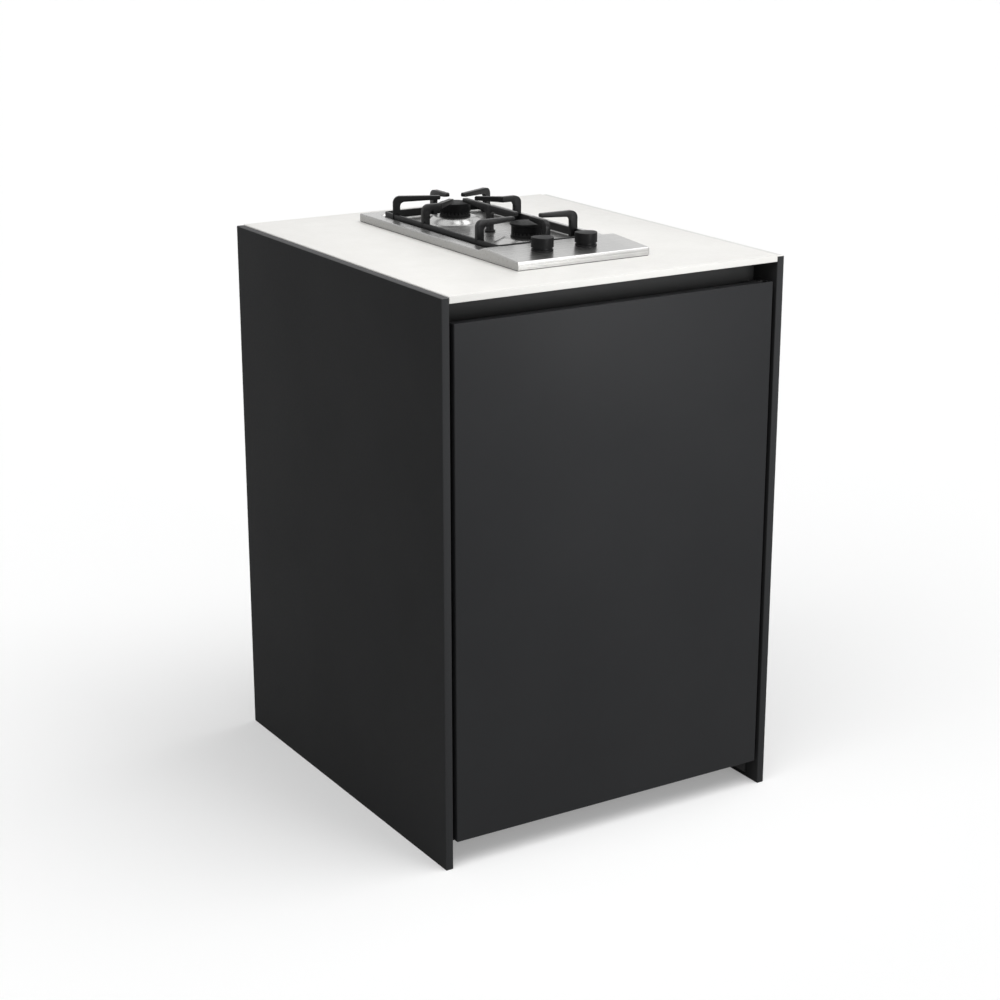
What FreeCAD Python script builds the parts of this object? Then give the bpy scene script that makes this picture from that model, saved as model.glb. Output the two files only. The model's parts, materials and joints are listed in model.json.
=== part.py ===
"""Outdoor kitchen side burner unit: a panelled cabinet with a set-in two-burner gas hob.

Frame: millimetres, +Z up, the front faces -Y, the origin is on the floor at the middle of the cabinet.
Every driving size is a cell of the sheet "Sizes"; places and fits are worked out from those cells.
"""
import FreeCAD, Part
import Sketcher
import math
import os
from types import SimpleNamespace

Vector = FreeCAD.Vector
UP = Vector(0, 0, 1)
ALONG_X = Vector(1, 0, 0)
ALONG_Y = Vector(0, 1, 0)

SIZES = {
    # cabinet
    "width": 632, "depth": 700, "height": 920, "panel_thick": 13, "panel_ease": 0.8,
    "top_thick": 11, "top_proud": 1.5,
    "door_gap": 7.5, "door_thick": 18, "door_low": 44, "door_ease": 1, "grip_high": 31,
    "rail_setback": 60, "rail_high": 60, "rail_thick": 13,
    "floor_low": 34, "floor_thick": 13, "floor_behind_door": 12,
    "back_inset": 20, "back_thick": 10,
    "slot_long": 90, "slot_high": 8, "slot_pitch": 22, "slot_count": 4, "slot_height": 120,
    "hose_hole_radius": 17, "hose_hole_height": 250, "hose_hole_side": 190,
    "grommet_bore": 12, "grommet_lip": 4, "grommet_lip_thick": 2.5,
    "angle_leg": 25, "angle_thick": 2.5, "angle_end_gap": 2,
    "screw_head_radius": 4.6, "screw_head_high": 2.6, "screw_radius": 1.9,
    "screw_bite": 8, "screw_end_gap": 0.5, "screw_clearance": 0.2, "screw_inset": 60,
    # door pivots and catch
    "pivot_inset": 15, "pivot_nest": 8, "pivot_room": 6.5,
    "pin_radius": 4, "pin_long": 15, "pin_clearance": 0.03,
    "bush_wall": 1.2, "bush_room": 2, "bush_lip": 0.8, "bush_lip_thick": 1, "bush_seat": 0.05,
    "bracket_gap": 0.3, "bracket_thick": 3, "bracket_arm": 9, "bracket_reach": 26,
    "bracket_tall": 25, "bracket_deep": 26,
    "catch_wide": 44, "catch_deep": 24, "catch_high": 13, "catch_inset": 8,
    "strike_thick": 1.5, "strike_high": 16, "touch_gap": 0.3,
    # hob tray
    "hob_wide": 247, "hob_deep": 515, "hob_along": 11.5, "hob_side": 3, "hob_corner": 3,
    "seal_thick": 1, "seal_wide": 8, "seal_inset": 0.5, "rim_high": 13, "rim_ease": 2, "sheet_thick": 1.5,
    "well_half": 103, "well_front": 100, "well_rear": 485, "well_deep": 8, "well_draft": 4, "well_corner": 12,
    "deck_rise": 6.5, "deck_ramp": 20,
    "cutout_gap": 11, "box_gap": 3, "box_wall": 1, "box_low": 54,
    "dome_base": 53.5, "dome_top": 36, "dome_rise": 2, "burner_hole": 23,
    "front_burner": 170, "rear_burner": 400,
    # burners
    "cup_radius": 26, "cup_wall": 4, "cup_deep": 46, "flange_radius": 35.4, "flange_thick": 3,
    "neck_clearance": 0.5, "neck_wall": 3, "neck_high": 2,
    "inlet_radius": 9, "inlet_high": 14,
    "injector_radius": 5, "injector_shoulder": 6, "injector_neck_radius": 3.5, "injector_neck": 7,
    "injector_tip_radius": 2.5, "injector_high": 10,
    "spreader_radius": 26.5, "spreader_wall": 5, "spreader_high": 8, "spreader_hub": 1,
    "spreader_lip": 1.2, "spreader_lip_high": 2,
    "port_count": 24, "port_wide": 1.8, "port_deep": 3,
    "cap_radius": 26.5, "cap_high": 15, "cap_ease": 1, "cap_lip": 2.5, "cap_lip_high": 3, "cap_waist": 1,
    "cap_hollow": 4, "cap_overlap": 1,
    "probe_ring": 31.2, "igniter_radius": 2.4, "sensor_radius": 1.9, "probe_clearance": 0.4,
    "collar_wide": 1.6, "collar_high": 2, "probe_below": 18, "probe_above": 2,
    "igniter_tip": 8, "sensor_tip": 10, "wire_radius": 0.7, "igniter_turn": 40, "sensor_turn": 85,
    # gas train
    "knob_side": -6, "knob_half_pitch": 41, "knob_from_front": 50, "pipe_radius": 4, "pipe_bend": 16,
    "tap_half": 11, "tap_front": 17, "tap_rear": 14, "tap_clear": 5, "tap_high": 40, "tap_neck": 8,
    "tap_bore": 5,
    "plug_radius": 7, "plug_long": 26, "plug_clearance": 0.05, "plug_roof": 2,
    "spindle_radius": 4, "spindle_clearance": 0.03, "spindle_grip": 8, "spindle_room": 4, "spindle_flat": 1.2,
    "spindle_hole": 6,
    "manifold_radius": 8, "manifold_wall": 2, "manifold_front": 30, "manifold_left": 75,
    "elbow_size": 24, "elbow_inset": 15.5, "elbow_drop": 26, "elbow_gap": 1, "thread_radius": 10.48,
    "thread_long": 20, "collar_nut": 14, "collar_nut_high": 6,
    # knobs
    "knob_radius": 18, "knob_high": 16, "knob_wall": 1.6, "knob_roof": 5.5, "knob_ease": 1.2,
    "knob_boss": 8, "knob_crease": 0.9, "push_travel": 2.5, "knob_clearance": 0.8,
    "bezel_radius": 17.5, "bezel_bore": 5.5, "bezel_high": 2.5,
    "nub_radius": 1.4, "nub_long": 1.2, "nub_root": 2,
    # pan support
    "frame_half": 96, "frame_front": 106, "frame_rear": 479, "bar_wide": 5, "bar_high": 8, "frame_corner": 8,
    "foot_thick": 1.5, "foot_radius": 2.4, "foot_inset": 14,
    "finger_top": 51, "finger_thick": 8, "finger_deep": 9.5, "finger_tip": 6.5, "tip_ease": 1.5,
    "leg_wide": 12.5, "bend_outer": 12, "bend_inner": 8,
    "tip_ring": 25, "rear_leg_back": 44, "rear_leg_ahead": 56,
    "kink_run": 28, "kink_turn": 36, "kink_arm": 48,
    "centre_bar_long": 166, "centre_notch": 1.5, "centre_foot": 9, "centre_foot_high": 3,
    # hob clamps
    "clamp_wide": 20, "clamp_thick": 2, "clamp_arm": 26, "clamp_leg": 18, "clamp_drop": 14, "clamp_inset": 80,
    "clamp_screw": 2.4, "clamp_screw_inset": 6.5, "clamp_head": 5, "clamp_head_high": 3,
}
PAST = 1  # how far a cut runs past the surface it opens, mm
SAME = 0.01  # heights closer than this are taken as equal, mm
LEAST_CUT = 1  # a pocket that removes less than this has missed its body, mm3

document = FreeCAD.newDocument("side_burner_unit")
sheet = document.addObject("Spreadsheet::Sheet", "Sizes")
for row, (alias, value) in enumerate(SIZES.items(), 1):
    sheet.set(f"A{row}", alias)
    sheet.set(f"B{row}", str(value))
    sheet.setAlias(f"B{row}", alias)
document.recompute()


class Length:
    """A size that knows both its number and the sheet expression it comes from."""

    def __init__(self, text, number):
        self.text = text
        self.number = float(number)

    @staticmethod
    def of(value):
        return value if isinstance(value, Length) else Length(repr(float(value)), value)

    def __add__(self, other):
        other = Length.of(other)
        return Length(f"({self.text} + {other.text})", self.number + other.number)

    def __sub__(self, other):
        other = Length.of(other)
        return Length(f"({self.text} - {other.text})", self.number - other.number)

    def __mul__(self, other):
        other = Length.of(other)
        return Length(f"({self.text} * {other.text})", self.number * other.number)

    def __truediv__(self, other):
        other = Length.of(other)
        return Length(f"({self.text} / {other.text})", self.number / other.number)

    def __radd__(self, other):
        return Length.of(other) + self

    def __rsub__(self, other):
        return Length.of(other) - self

    def __rmul__(self, other):
        return Length.of(other) * self

    def __neg__(self):
        return Length(f"(-{self.text})", -self.number)

    def __float__(self):
        return self.number


s = SimpleNamespace(**{alias: Length(f"Sizes.{alias}", sheet.get(alias)) for alias in SIZES})


# Document helpers: sketches, bodies and plain shapes

def bind(owner, prop, length):
    """Tie a property of a document object to the sheet."""
    owner.setExpression(prop, Length.of(length).text)


def origin_plane(body, role):
    return next(item for item in body.Origin.OriginFeatures if item.Role == role)


def new_body(label):
    body = document.addObject("PartDesign::Body", label)
    body.Label = label
    return body


def sketch(body, plane, offset, points=(), circles=()):
    """Closed outline through points, and circles (x, y, radius), every place tied to the sheet."""
    drawing = body.newObject("Sketcher::SketchObject", f"{body.Label}_sketch")
    drawing.AttachmentSupport = [(origin_plane(body, plane), "")]
    drawing.MapMode = "FlatFace"
    bind(drawing, ".AttachmentOffset.Base.z", offset)
    places = [(Length.of(x), Length.of(y)) for x, y in points]
    corners = [Vector(x.number, y.number, 0) for x, y in places]
    for begin, end in zip(corners, corners[1:] + corners[:1]):
        drawing.addGeometry(Part.LineSegment(begin, end))
    for index in range(len(places)):
        drawing.addConstraint(Sketcher.Constraint("Coincident", index, 2, (index + 1) % len(places), 1))
    spots = [(index, 1, x, y) for index, (x, y) in enumerate(places)]
    for x, y, radius in circles:
        x, y, radius = Length.of(x), Length.of(y), Length.of(radius)
        ring = drawing.addGeometry(Part.Circle(Vector(x.number, y.number, 0), UP, radius.number))
        rule = drawing.addConstraint(Sketcher.Constraint("Radius", ring, radius.number))
        bind(drawing, f"Constraints[{rule}]", radius)
        spots.append((ring, 3, x, y))
    for geometry, point, x, y in spots:
        for axis, length in (("DistanceX", x), ("DistanceY", y)):
            rule = drawing.addConstraint(Sketcher.Constraint(axis, -1, 1, geometry, point, length.number))
            bind(drawing, f"Constraints[{rule}]", length)
    return drawing


def rectangle(x0, x1, y0, y1):
    return [(x0, y0), (x1, y0), (x1, y1), (x0, y1)]


def pad(body, drawing, length):
    feature = body.newObject("PartDesign::Pad", f"{body.Label}_pad")
    feature.Profile = drawing
    bind(feature, "Length", length)
    document.recompute()
    return feature


def pocket(body, drawing, length, reverse=False):
    """Cut a sketch into the body; a cut that removes nothing is an error."""
    before = body.Shape.Volume
    feature = body.newObject("PartDesign::Pocket", f"{body.Label}_pocket")
    feature.Profile = drawing
    feature.Reversed = reverse
    bind(feature, "Length", length)
    document.recompute()
    if body.Shape.Volume > before - LEAST_CUT:
        raise RuntimeError(f"{body.Label}: a pocket cut nothing")
    return feature


def ease_all_edges(body, base, size):
    feature = body.newObject("PartDesign::Chamfer", f"{body.Label}_eased")
    feature.Base = (base, [f"Edge{number + 1}" for number in range(len(base.Shape.Edges))])
    bind(feature, "Size", size)
    document.recompute()
    return feature


def revolve(body, points):
    """Turned piece about its own upright axis, from an outline of (radius, height)."""
    feature = body.newObject("PartDesign::Revolution", f"{body.Label}_turned")
    drawing = sketch(body, "XZ_Plane", 0, points)
    feature.Profile = drawing
    feature.ReferenceAxis = (drawing, ["V_Axis"])
    feature.Angle = 360
    document.recompute()
    return feature


def stand(body, x, y, z):
    """Put a finished body at its place in the cabinet."""
    for axis, length in zip("xyz", (x, y, z)):
        bind(body, f".Placement.Base.{axis}", length)


def solid_node(label, shape):
    """A piece whose form needs free modelling; its sizes still come from the sheet."""
    node = document.addObject("Part::Feature", label)
    node.Label = label
    node.Shape = shape
    return node


# Shape helpers, all taking sheet sizes or numbers

def span(one, other):
    """Two places in rising order."""
    return sorted((one, other), key=float)


def block(x0, x1, y0, y1, z0, z1):
    x0, x1, y0, y1, z0, z1 = (float(value) for value in (x0, x1, y0, y1, z0, z1))
    return Part.makeBox(x1 - x0, y1 - y0, z1 - z0, Vector(x0, y0, z0))


def rod(x, y, z0, z1, radius):
    return Part.makeCylinder(float(radius), float(z1) - float(z0), Vector(float(x), float(y), float(z0)), UP)


def rod_along(direction, x, y, z, length, radius):
    return Part.makeCylinder(float(radius), float(length), Vector(float(x), float(y), float(z)), direction)


def rounded_wire(x0, x1, y0, y1, z, radius):
    """Rectangle with round corners, as a closed wire at height z."""
    x0, x1, y0, y1, z, radius = (float(value) for value in (x0, x1, y0, y1, z, radius))
    lean = radius * (1 - math.sqrt(0.5))
    edges = []
    corners = [(x1, y0, -1, 1), (x1, y1, -1, -1), (x0, y1, 1, -1), (x0, y0, 1, 1)]
    starts = [(radius, 0), (0, -radius), (-radius, 0), (0, radius)]
    last = Vector(x0 + radius, y0, z)
    for (x, y, sx, sy), (dx, dy) in zip(corners, starts):
        begin = Vector(x + (sx * radius if dy == 0 else 0), y + (sy * radius if dx == 0 else 0), z)
        end = Vector(x + (sx * radius if dx == 0 else 0), y + (sy * radius if dy == 0 else 0), z)
        edges.append(Part.LineSegment(last, begin).toShape())
        edges.append(Part.Arc(begin, Vector(x + sx * lean, y + sy * lean, z), end).toShape())
        last = end
    return Part.Wire(edges)


def rounded_block(x0, x1, y0, y1, z0, z1, radius):
    face = Part.Face(rounded_wire(x0, x1, y0, y1, z0, radius))
    return face.extrude(Vector(0, 0, float(z1) - float(z0)))


def hexagon_block(x, y, z0, z1, radius):
    """Upright hexagonal bar, radius to its corners."""
    x, y, z0, z1, radius = (float(value) for value in (x, y, z0, z1, radius))
    turns = [math.radians(60 * corner) for corner in range(7)]
    outline = [Vector(x + radius * math.cos(turn), y + radius * math.sin(turn), z0) for turn in turns]
    return Part.Face(Part.makePolygon(outline)).extrude(Vector(0, 0, z1 - z0))


def turned(x, y, z, direction, angle, shape):
    """Copy of a shape turned about an axis through its own origin, then put in place."""
    copy = shape.copy()
    copy.rotate(Vector(0, 0, 0), direction, angle)
    copy.translate(Vector(float(x), float(y), float(z)))
    return copy


# Shared places

front = -s.depth / 2
rear = s.depth / 2
inner = s.width / 2 - s.panel_thick
top_under = s.height - s.top_thick
door_top = top_under - s.grip_high
door_back = front + s.door_thick
back_face = rear - s.back_inset - s.back_thick
floor_top = s.floor_low + s.floor_thick
floor_front = door_back + s.floor_behind_door
rail_front = front + s.rail_setback
rail_rear = rail_front + s.rail_thick
rear_rail_front = back_face - s.rail_thick
rail_low = top_under - s.rail_high
pivot_x = inner - s.door_gap - s.pivot_inset
pivot_y = front + s.door_thick / 2
hob_y = s.hob_along - s.hob_deep / 2
skirt_low = s.height + s.seal_thick
rim_top = skirt_low + s.rim_high
well_floor = rim_top - s.well_deep
dome_level = rim_top + s.dome_rise
sheet_under = rim_top - s.sheet_thick
box_floor = s.height - s.box_low
box_half = s.hob_wide / 2 - s.cutout_gap - s.box_gap
box_front = hob_y + s.cutout_gap + s.box_gap
box_rear = hob_y + s.hob_deep - s.cutout_gap - s.box_gap
manifold_end = box_half - s.elbow_inset - s.elbow_size
knob_y = hob_y + s.knob_from_front
BURNERS = {"front": hob_y + s.front_burner, "rear": hob_y + s.rear_burner}
SIDES = {"left": -1, "right": 1}


# Screw places on the three kinds of cabinet angle: along the angle, near both ends

def pair_between(low, high):
    return (low + s.screw_inset, high - s.screw_inset)


top_angle_ends = (rail_rear + s.angle_end_gap, rear_rail_front - s.angle_end_gap)
floor_angle_ends = (floor_front + s.angle_end_gap, back_face - s.angle_end_gap)
back_angle_ends = (floor_top + s.angle_end_gap, rail_low - s.angle_end_gap)
screw_offset = s.angle_leg / 2 + s.angle_thick / 2
top_screws = pair_between(*top_angle_ends)
floor_screws = pair_between(*floor_angle_ends)
back_screws = pair_between(*back_angle_ends)
screw_hole = s.screw_radius + s.screw_clearance


# Cabinet panels

def side_panel(side, sign):
    body = new_body(f"side_panel_{side}")
    panel_top = s.height - s.top_proud
    base = pad(body, sketch(body, "YZ_Plane", 0, rectangle(front, rear, 0, panel_top)), s.panel_thick)
    ease_all_edges(body, base, s.panel_ease)
    holes = [(y, top_under - screw_offset, screw_hole) for y in top_screws]
    holes += [(y, s.floor_low - screw_offset, screw_hole) for y in floor_screws]
    holes += [(back_face - screw_offset, z, screw_hole) for z in back_screws]
    face = s.panel_thick if sign < 0 else 0
    pocket(body, sketch(body, "YZ_Plane", face, circles=holes), s.screw_bite, reverse=sign > 0)
    stand(body, -s.width / 2 if sign < 0 else inner, 0, 0)


def worktop():
    body = new_body("worktop")
    base = pad(body, sketch(body, "XY_Plane", 0, rectangle(-inner, inner, front, rear)), s.top_thick)
    ease_all_edges(body, base, s.panel_ease)
    hole_half = s.hob_wide / 2 - s.cutout_gap
    cutout = rectangle(s.hob_side - hole_half, s.hob_side + hole_half,
                       hob_y + s.cutout_gap, hob_y + s.hob_deep - s.cutout_gap)
    pocket(body, sketch(body, "XY_Plane", s.top_thick, cutout), s.top_thick + PAST)
    holes = [(sign * (inner - screw_offset), y, screw_hole) for sign in SIDES.values() for y in top_screws]
    pocket(body, sketch(body, "XY_Plane", 0, circles=holes), s.screw_bite, reverse=True)
    stand(body, 0, 0, top_under)


def slot_row(body, plane, offset, x, y, depth, reverse):
    """Row of vent slots, repeated by a linear pattern across their length."""
    half = s.slot_long / 2
    outline = rectangle(x - half, x + half, y, y + s.slot_high)
    first = pocket(body, sketch(body, plane, offset, outline), depth, reverse)
    row = body.newObject("PartDesign::LinearPattern", f"{body.Label}_slots")
    row.Originals = [first]
    row.Direction = (first.Profile[0], ["V_Axis"])
    bind(row, "Length", s.slot_pitch * (s.slot_count - 1))
    bind(row, "Occurrences", s.slot_count)
    body.Tip = row
    document.recompute()


def back_panel():
    body = new_body("back_panel")
    outline = rectangle(-inner, inner, s.floor_low, top_under)
    pad(body, sketch(body, "XZ_Plane", 0, outline), s.back_thick)
    holes = [(sign * (inner - screw_offset), z, screw_hole) for sign in SIDES.values() for z in back_screws]
    pocket(body, sketch(body, "XZ_Plane", s.back_thick, circles=holes), s.screw_bite)
    hose = [(s.hose_hole_side, s.hose_hole_height, s.hose_hole_radius)]
    pocket(body, sketch(body, "XZ_Plane", s.back_thick, circles=hose), s.back_thick + PAST)
    slot_row(body, "XZ_Plane", s.back_thick, 0, s.slot_height, s.back_thick + PAST, False)
    stand(body, 0, back_face + s.back_thick, 0)


def bottom_panel():
    body = new_body("bottom_panel")
    outline = rectangle(-inner, inner, floor_front, back_face)
    pad(body, sketch(body, "XY_Plane", 0, outline), s.floor_thick)
    holes = [(sign * (inner - screw_offset), y, screw_hole) for sign in SIDES.values() for y in floor_screws]
    pocket(body, sketch(body, "XY_Plane", 0, circles=holes), s.screw_bite, reverse=True)
    slot_row(body, "XY_Plane", s.floor_thick, 0, 0, s.floor_thick + PAST, False)
    stand(body, 0, 0, s.floor_low)


def rail(label, y):
    body = new_body(label)
    pad(body, sketch(body, "XZ_Plane", 0, rectangle(-inner, inner, rail_low, top_under)), s.rail_thick)
    stand(body, 0, y + s.rail_thick, 0)


def angle_section(body, plane, offset, corner_x, corner_y, turn_x, turn_y, length):
    """L section with its outer corner at a point and its legs running along turn_x and turn_y."""
    leg = s.angle_leg
    thick = s.angle_thick
    steps = [(0, 0), (leg, 0), (leg, thick), (thick, thick), (thick, leg), (0, leg)]
    points = [(corner_x + turn_x * a, corner_y + turn_y * b) for a, b in steps]
    return pad(body, sketch(body, plane, offset, points), length)


def cabinet_angles(side, sign):
    """Aluminium angles of one side: under the worktop, under the floor and in the rear corner."""
    wall = sign * inner
    middle = sign * (inner - screw_offset)
    flat_rows = [("top", top_under, top_angle_ends, top_screws),
                 ("floor", s.floor_low, floor_angle_ends, floor_screws)]
    for name, level, (start, end), screws in flat_rows:
        body = new_body(f"{name}_angle_{side}")
        angle_section(body, "XZ_Plane", -end, wall, level, -sign, -1, end - start)
        up_holes = [(middle, y, screw_hole) for y in screws]
        pocket(body, sketch(body, "XY_Plane", level, circles=up_holes), s.angle_thick + PAST)
        side_holes = [(y, level - screw_offset, screw_hole) for y in screws]
        pocket(body, sketch(body, "YZ_Plane", wall, circles=side_holes), s.angle_thick + PAST, reverse=sign < 0)
    body = new_body(f"rear_angle_{side}")
    low, high = back_angle_ends
    angle_section(body, "XY_Plane", low, wall, back_face, -sign, -1, high - low)
    back_holes = [(middle, z, screw_hole) for z in back_screws]
    pocket(body, sketch(body, "XZ_Plane", -back_face, circles=back_holes), s.angle_thick + PAST, reverse=True)
    side_holes = [(back_face - screw_offset, z, screw_hole) for z in back_screws]
    pocket(body, sketch(body, "YZ_Plane", wall, circles=side_holes), s.angle_thick + PAST, reverse=sign < 0)


def screw(x, y, z, direction):
    """Hexagon-head screw with its head seated at a point, its shank running along direction."""
    head = hexagon_block(0, 0, 0, s.screw_head_high, s.screw_head_radius)
    shank = rod(0, 0, s.screw_end_gap - s.screw_bite - s.angle_thick, 0, s.screw_radius)
    shape = head.fuse(shank)
    turn = FreeCAD.Rotation(UP, direction * -1)
    shape.Placement = FreeCAD.Placement(Vector(float(x), float(y), float(z)), turn)
    return shape


def cabinet_screws():
    solids = []
    for sign in SIDES.values():
        face = sign * (inner - s.angle_thick)
        middle = sign * (inner - screw_offset)
        for level, screws in ((top_under, top_screws), (s.floor_low, floor_screws)):
            for y in screws:
                solids.append(screw(face, y, level - screw_offset, ALONG_X * sign))
                solids.append(screw(middle, y, level - s.angle_thick, UP))
        for z in back_screws:
            solids.append(screw(face, back_face - screw_offset, z, ALONG_X * sign))
            solids.append(screw(middle, back_face - s.angle_thick, z, ALONG_Y))
    solid_node("cabinet_screws", Part.makeCompound(solids))


def hose_grommet():
    """Rubber bush in the back panel that the gas hose passes through."""
    body = new_body("hose_grommet")
    lip = s.hose_hole_radius + s.grommet_lip
    end = s.back_thick + s.grommet_lip_thick
    fit = s.hose_hole_radius - s.touch_gap
    revolve(body, [(s.grommet_bore, -s.grommet_lip_thick), (lip, -s.grommet_lip_thick), (lip, 0), (fit, 0),
                   (fit, s.back_thick), (lip, s.back_thick), (lip, end), (s.grommet_bore, end)])
    body.Placement = FreeCAD.Placement(Vector(0, 0, 0), FreeCAD.Rotation(ALONG_X, -90))
    stand(body, s.hose_hole_side, back_face, s.hose_hole_height)


# Door, its pivots and its catch

def door_panel():
    body = new_body("door_panel")
    half = inner - s.door_gap
    base = pad(body, sketch(body, "XZ_Plane", 0, rectangle(-half, half, s.door_low, door_top)), s.door_thick)
    ease_all_edges(body, base, s.door_ease)
    axis_y = -s.door_thick / 2
    nest = rectangle(pivot_x - s.pivot_room, half + PAST, axis_y - s.pivot_room, PAST)
    hole = [(pivot_x, axis_y, s.pin_radius + s.bush_wall + s.bush_seat)]
    depth = s.pivot_nest + s.pin_long + 2 * s.bush_room
    for level, at_foot in ((door_top, False), (s.door_low, True)):
        pocket(body, sketch(body, "XY_Plane", level, nest), s.pivot_nest, reverse=at_foot)
        pocket(body, sketch(body, "XY_Plane", level, circles=hole), depth, reverse=at_foot)
    stand(body, 0, door_back, 0)


def pivot_bush(name, level, sign):
    """Flanged nylon bush in the floor of the door's nest; sign is +1 at the top and -1 at the bottom."""
    body = new_body(f"pivot_bush_{name}")
    bore = s.pin_radius + s.pin_clearance
    outer = s.pin_radius + s.bush_wall
    brim = outer + s.bush_lip
    deep = sign * (s.pin_long + s.bush_room)
    lip = sign * s.bush_lip_thick
    revolve(body, [(bore, lip), (brim, lip), (brim, 0), (outer, 0), (outer, -deep), (bore, -deep)])
    stand(body, pivot_x, pivot_y, level)


def pivot_bracket(name, level, sign):
    """Steel bracket behind the door: plate on the right panel, cross bar, arm into the nest and welded stud."""
    near = level + sign * (s.bush_lip_thick + s.bracket_gap)
    far = near + sign * s.bracket_thick
    leaf = span(near, far)
    half_arm = s.bracket_arm / 2
    half_plate = s.bracket_deep / 2
    bar_y = pivot_y + s.bracket_reach
    nose = rod(pivot_x, pivot_y, *leaf, half_arm)
    arm = block(pivot_x - half_arm, pivot_x + half_arm, pivot_y, bar_y + half_arm, *leaf)
    bar = block(pivot_x, inner, bar_y - half_arm, bar_y + half_arm, *leaf)
    plate = block(inner - s.bracket_thick, inner, bar_y - half_plate, bar_y + half_plate,
                  *span(far, far - sign * s.bracket_tall))
    stud = rod(pivot_x, pivot_y, *span(level - sign * s.pin_long, far), s.pin_radius)
    solid_node(f"pivot_bracket_{name}", plate.fuse([bar, arm, nose, stud]).removeSplitter())


def door_catch():
    """Magnetic catch on the cabinet floor, and the strike plate on the back of the door."""
    left = -inner + s.door_gap + s.catch_inset
    body = new_body("catch_body")
    points = rectangle(left, left + s.catch_wide, floor_top, floor_top + s.catch_high)
    base = pad(body, sketch(body, "XZ_Plane", 0, points), s.catch_deep)
    ease_all_edges(body, base, s.panel_ease)
    stand(body, 0, door_back + s.strike_thick + s.touch_gap + s.catch_deep, 0)
    plate = new_body("strike_plate")
    points = rectangle(left, left + s.catch_wide, floor_top, floor_top + s.strike_high)
    pad(plate, sketch(plate, "XZ_Plane", 0, points), s.strike_thick)
    stand(plate, 0, door_back + s.strike_thick, 0)


# Hob tray: a pressed steel sheet with a rim, a raised control deck, a well and two burner domes

def hob_x(across):
    return s.hob_side + across


def knob_x(sign):
    """Place of a knob across the hob; the pair sits a little to the left of the middle."""
    return hob_x(s.knob_side + sign * s.knob_half_pitch)


def well_form(grow, z_top, z_floor):
    """Tapered well, wider at the top and grown sideways by a margin, open upwards past the deck's crest."""
    draft = s.well_draft
    corner = s.well_corner + grow
    half = s.well_half + grow
    low = hob_y + s.well_front - grow
    high = hob_y + s.well_rear + grow
    top = rounded_wire(hob_x(-half), hob_x(half), low, high, z_top, corner)
    mouth = rounded_block(hob_x(-half), hob_x(half), low, high, z_top, rim_top + s.deck_rise + PAST, corner)
    half = half - draft
    base = rounded_wire(hob_x(-half), hob_x(half), low + draft, high - draft, z_floor, corner - draft)
    return Part.makeLoft([top, base], True, True).fuse(mouth)


def tray_form(inset):
    """Tray as a full block, or its inside if inset: the deck rises from the front edge to a crest at the well."""
    half = s.hob_wide / 2 - inset
    low = skirt_low - (PAST if float(inset) else 0)
    level = rim_top - inset
    profile = [(hob_y + inset, low), (hob_y + inset, level), (hob_y + s.well_front, level + s.deck_rise),
               (hob_y + s.well_front + s.deck_ramp, level), (hob_y + s.hob_deep - inset, level),
               (hob_y + s.hob_deep - inset, low)]
    left = float(hob_x(-half))
    outline = [Vector(left, float(y), float(z)) for y, z in profile]
    return Part.Face(Part.makePolygon([*outline, outline[0]])).extrude(ALONG_X * float(2 * half))


def deck_height(from_front):
    """Height of the sloping control deck at a distance behind the hob's front edge."""
    return rim_top + s.deck_rise / s.well_front * from_front


def probe_places():
    """Igniter and flame sensor beside a burner: name, place from the burner's middle, radius."""
    probes = (("igniter", s.igniter_turn, s.igniter_radius), ("flame_sensor", s.sensor_turn, s.sensor_radius))
    for name, turn, radius in probes:
        angle = math.radians(float(turn))
        yield name, s.probe_ring * math.cos(angle), s.probe_ring * math.sin(angle), radius


def rounded_tray():
    """Tray block with round corners and a round top edge all the way along its skirt."""
    form = tray_form(Length.of(0))
    upright = [edge for edge in form.Edges if abs(edge.tangentAt(edge.FirstParameter).z) > 1 - SAME]
    form = form.makeFillet(float(s.hob_corner), upright)
    skirts = [face for face in form.Faces if abs(face.normalAt(0, 0).z) < SAME]
    top_edges = [edge for face in skirts for edge in face.Edges
                 if min(vertex.Z for vertex in edge.Vertexes) > float(rim_top) - SAME]
    return form.makeFillet(float(s.rim_ease), top_edges)


def hob_tray():
    wall = s.sheet_thick
    form = rounded_tray().cut(well_form(Length.of(0), rim_top, well_floor))
    form = form.cut(tray_form(wall).cut(well_form(wall, sheet_under, well_floor - wall)))
    for y in BURNERS.values():
        place = Vector(float(hob_x(0)), float(y), float(well_floor))
        dome = Part.makeCone(float(s.dome_base), float(s.dome_top), float(dome_level - well_floor), place, UP)
        inside = dome.copy()
        inside.translate(Vector(0, 0, -float(wall)))
        form = form.fuse(dome).cut(inside)
        form = form.cut(rod(hob_x(0), y, well_floor - 2 * wall, dome_level + PAST, s.burner_hole))
        for _, across, along, radius in probe_places():
            hole = radius + s.probe_clearance
            form = form.cut(rod(hob_x(across), y + along, well_floor, dome_level + PAST, hole))
    for sign in SIDES.values():
        form = form.cut(rod(knob_x(sign), knob_y, skirt_low, rim_top + s.deck_rise, s.spindle_hole))
    solid_node("hob_tray", form.removeSplitter())


def hob_seal():
    half = s.hob_wide / 2 - s.seal_inset
    near, far = hob_y + s.seal_inset, hob_y + s.hob_deep - s.seal_inset
    outer = rounded_block(hob_x(-half), hob_x(half), near, far, s.height, skirt_low, s.hob_corner)
    wide = s.seal_wide
    hole = block(hob_x(-half + wide), hob_x(half - wide), near + wide, far - wide,
                 s.height - PAST, skirt_low + PAST)
    solid_node("hob_seal", outer.cut(hole))


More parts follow.
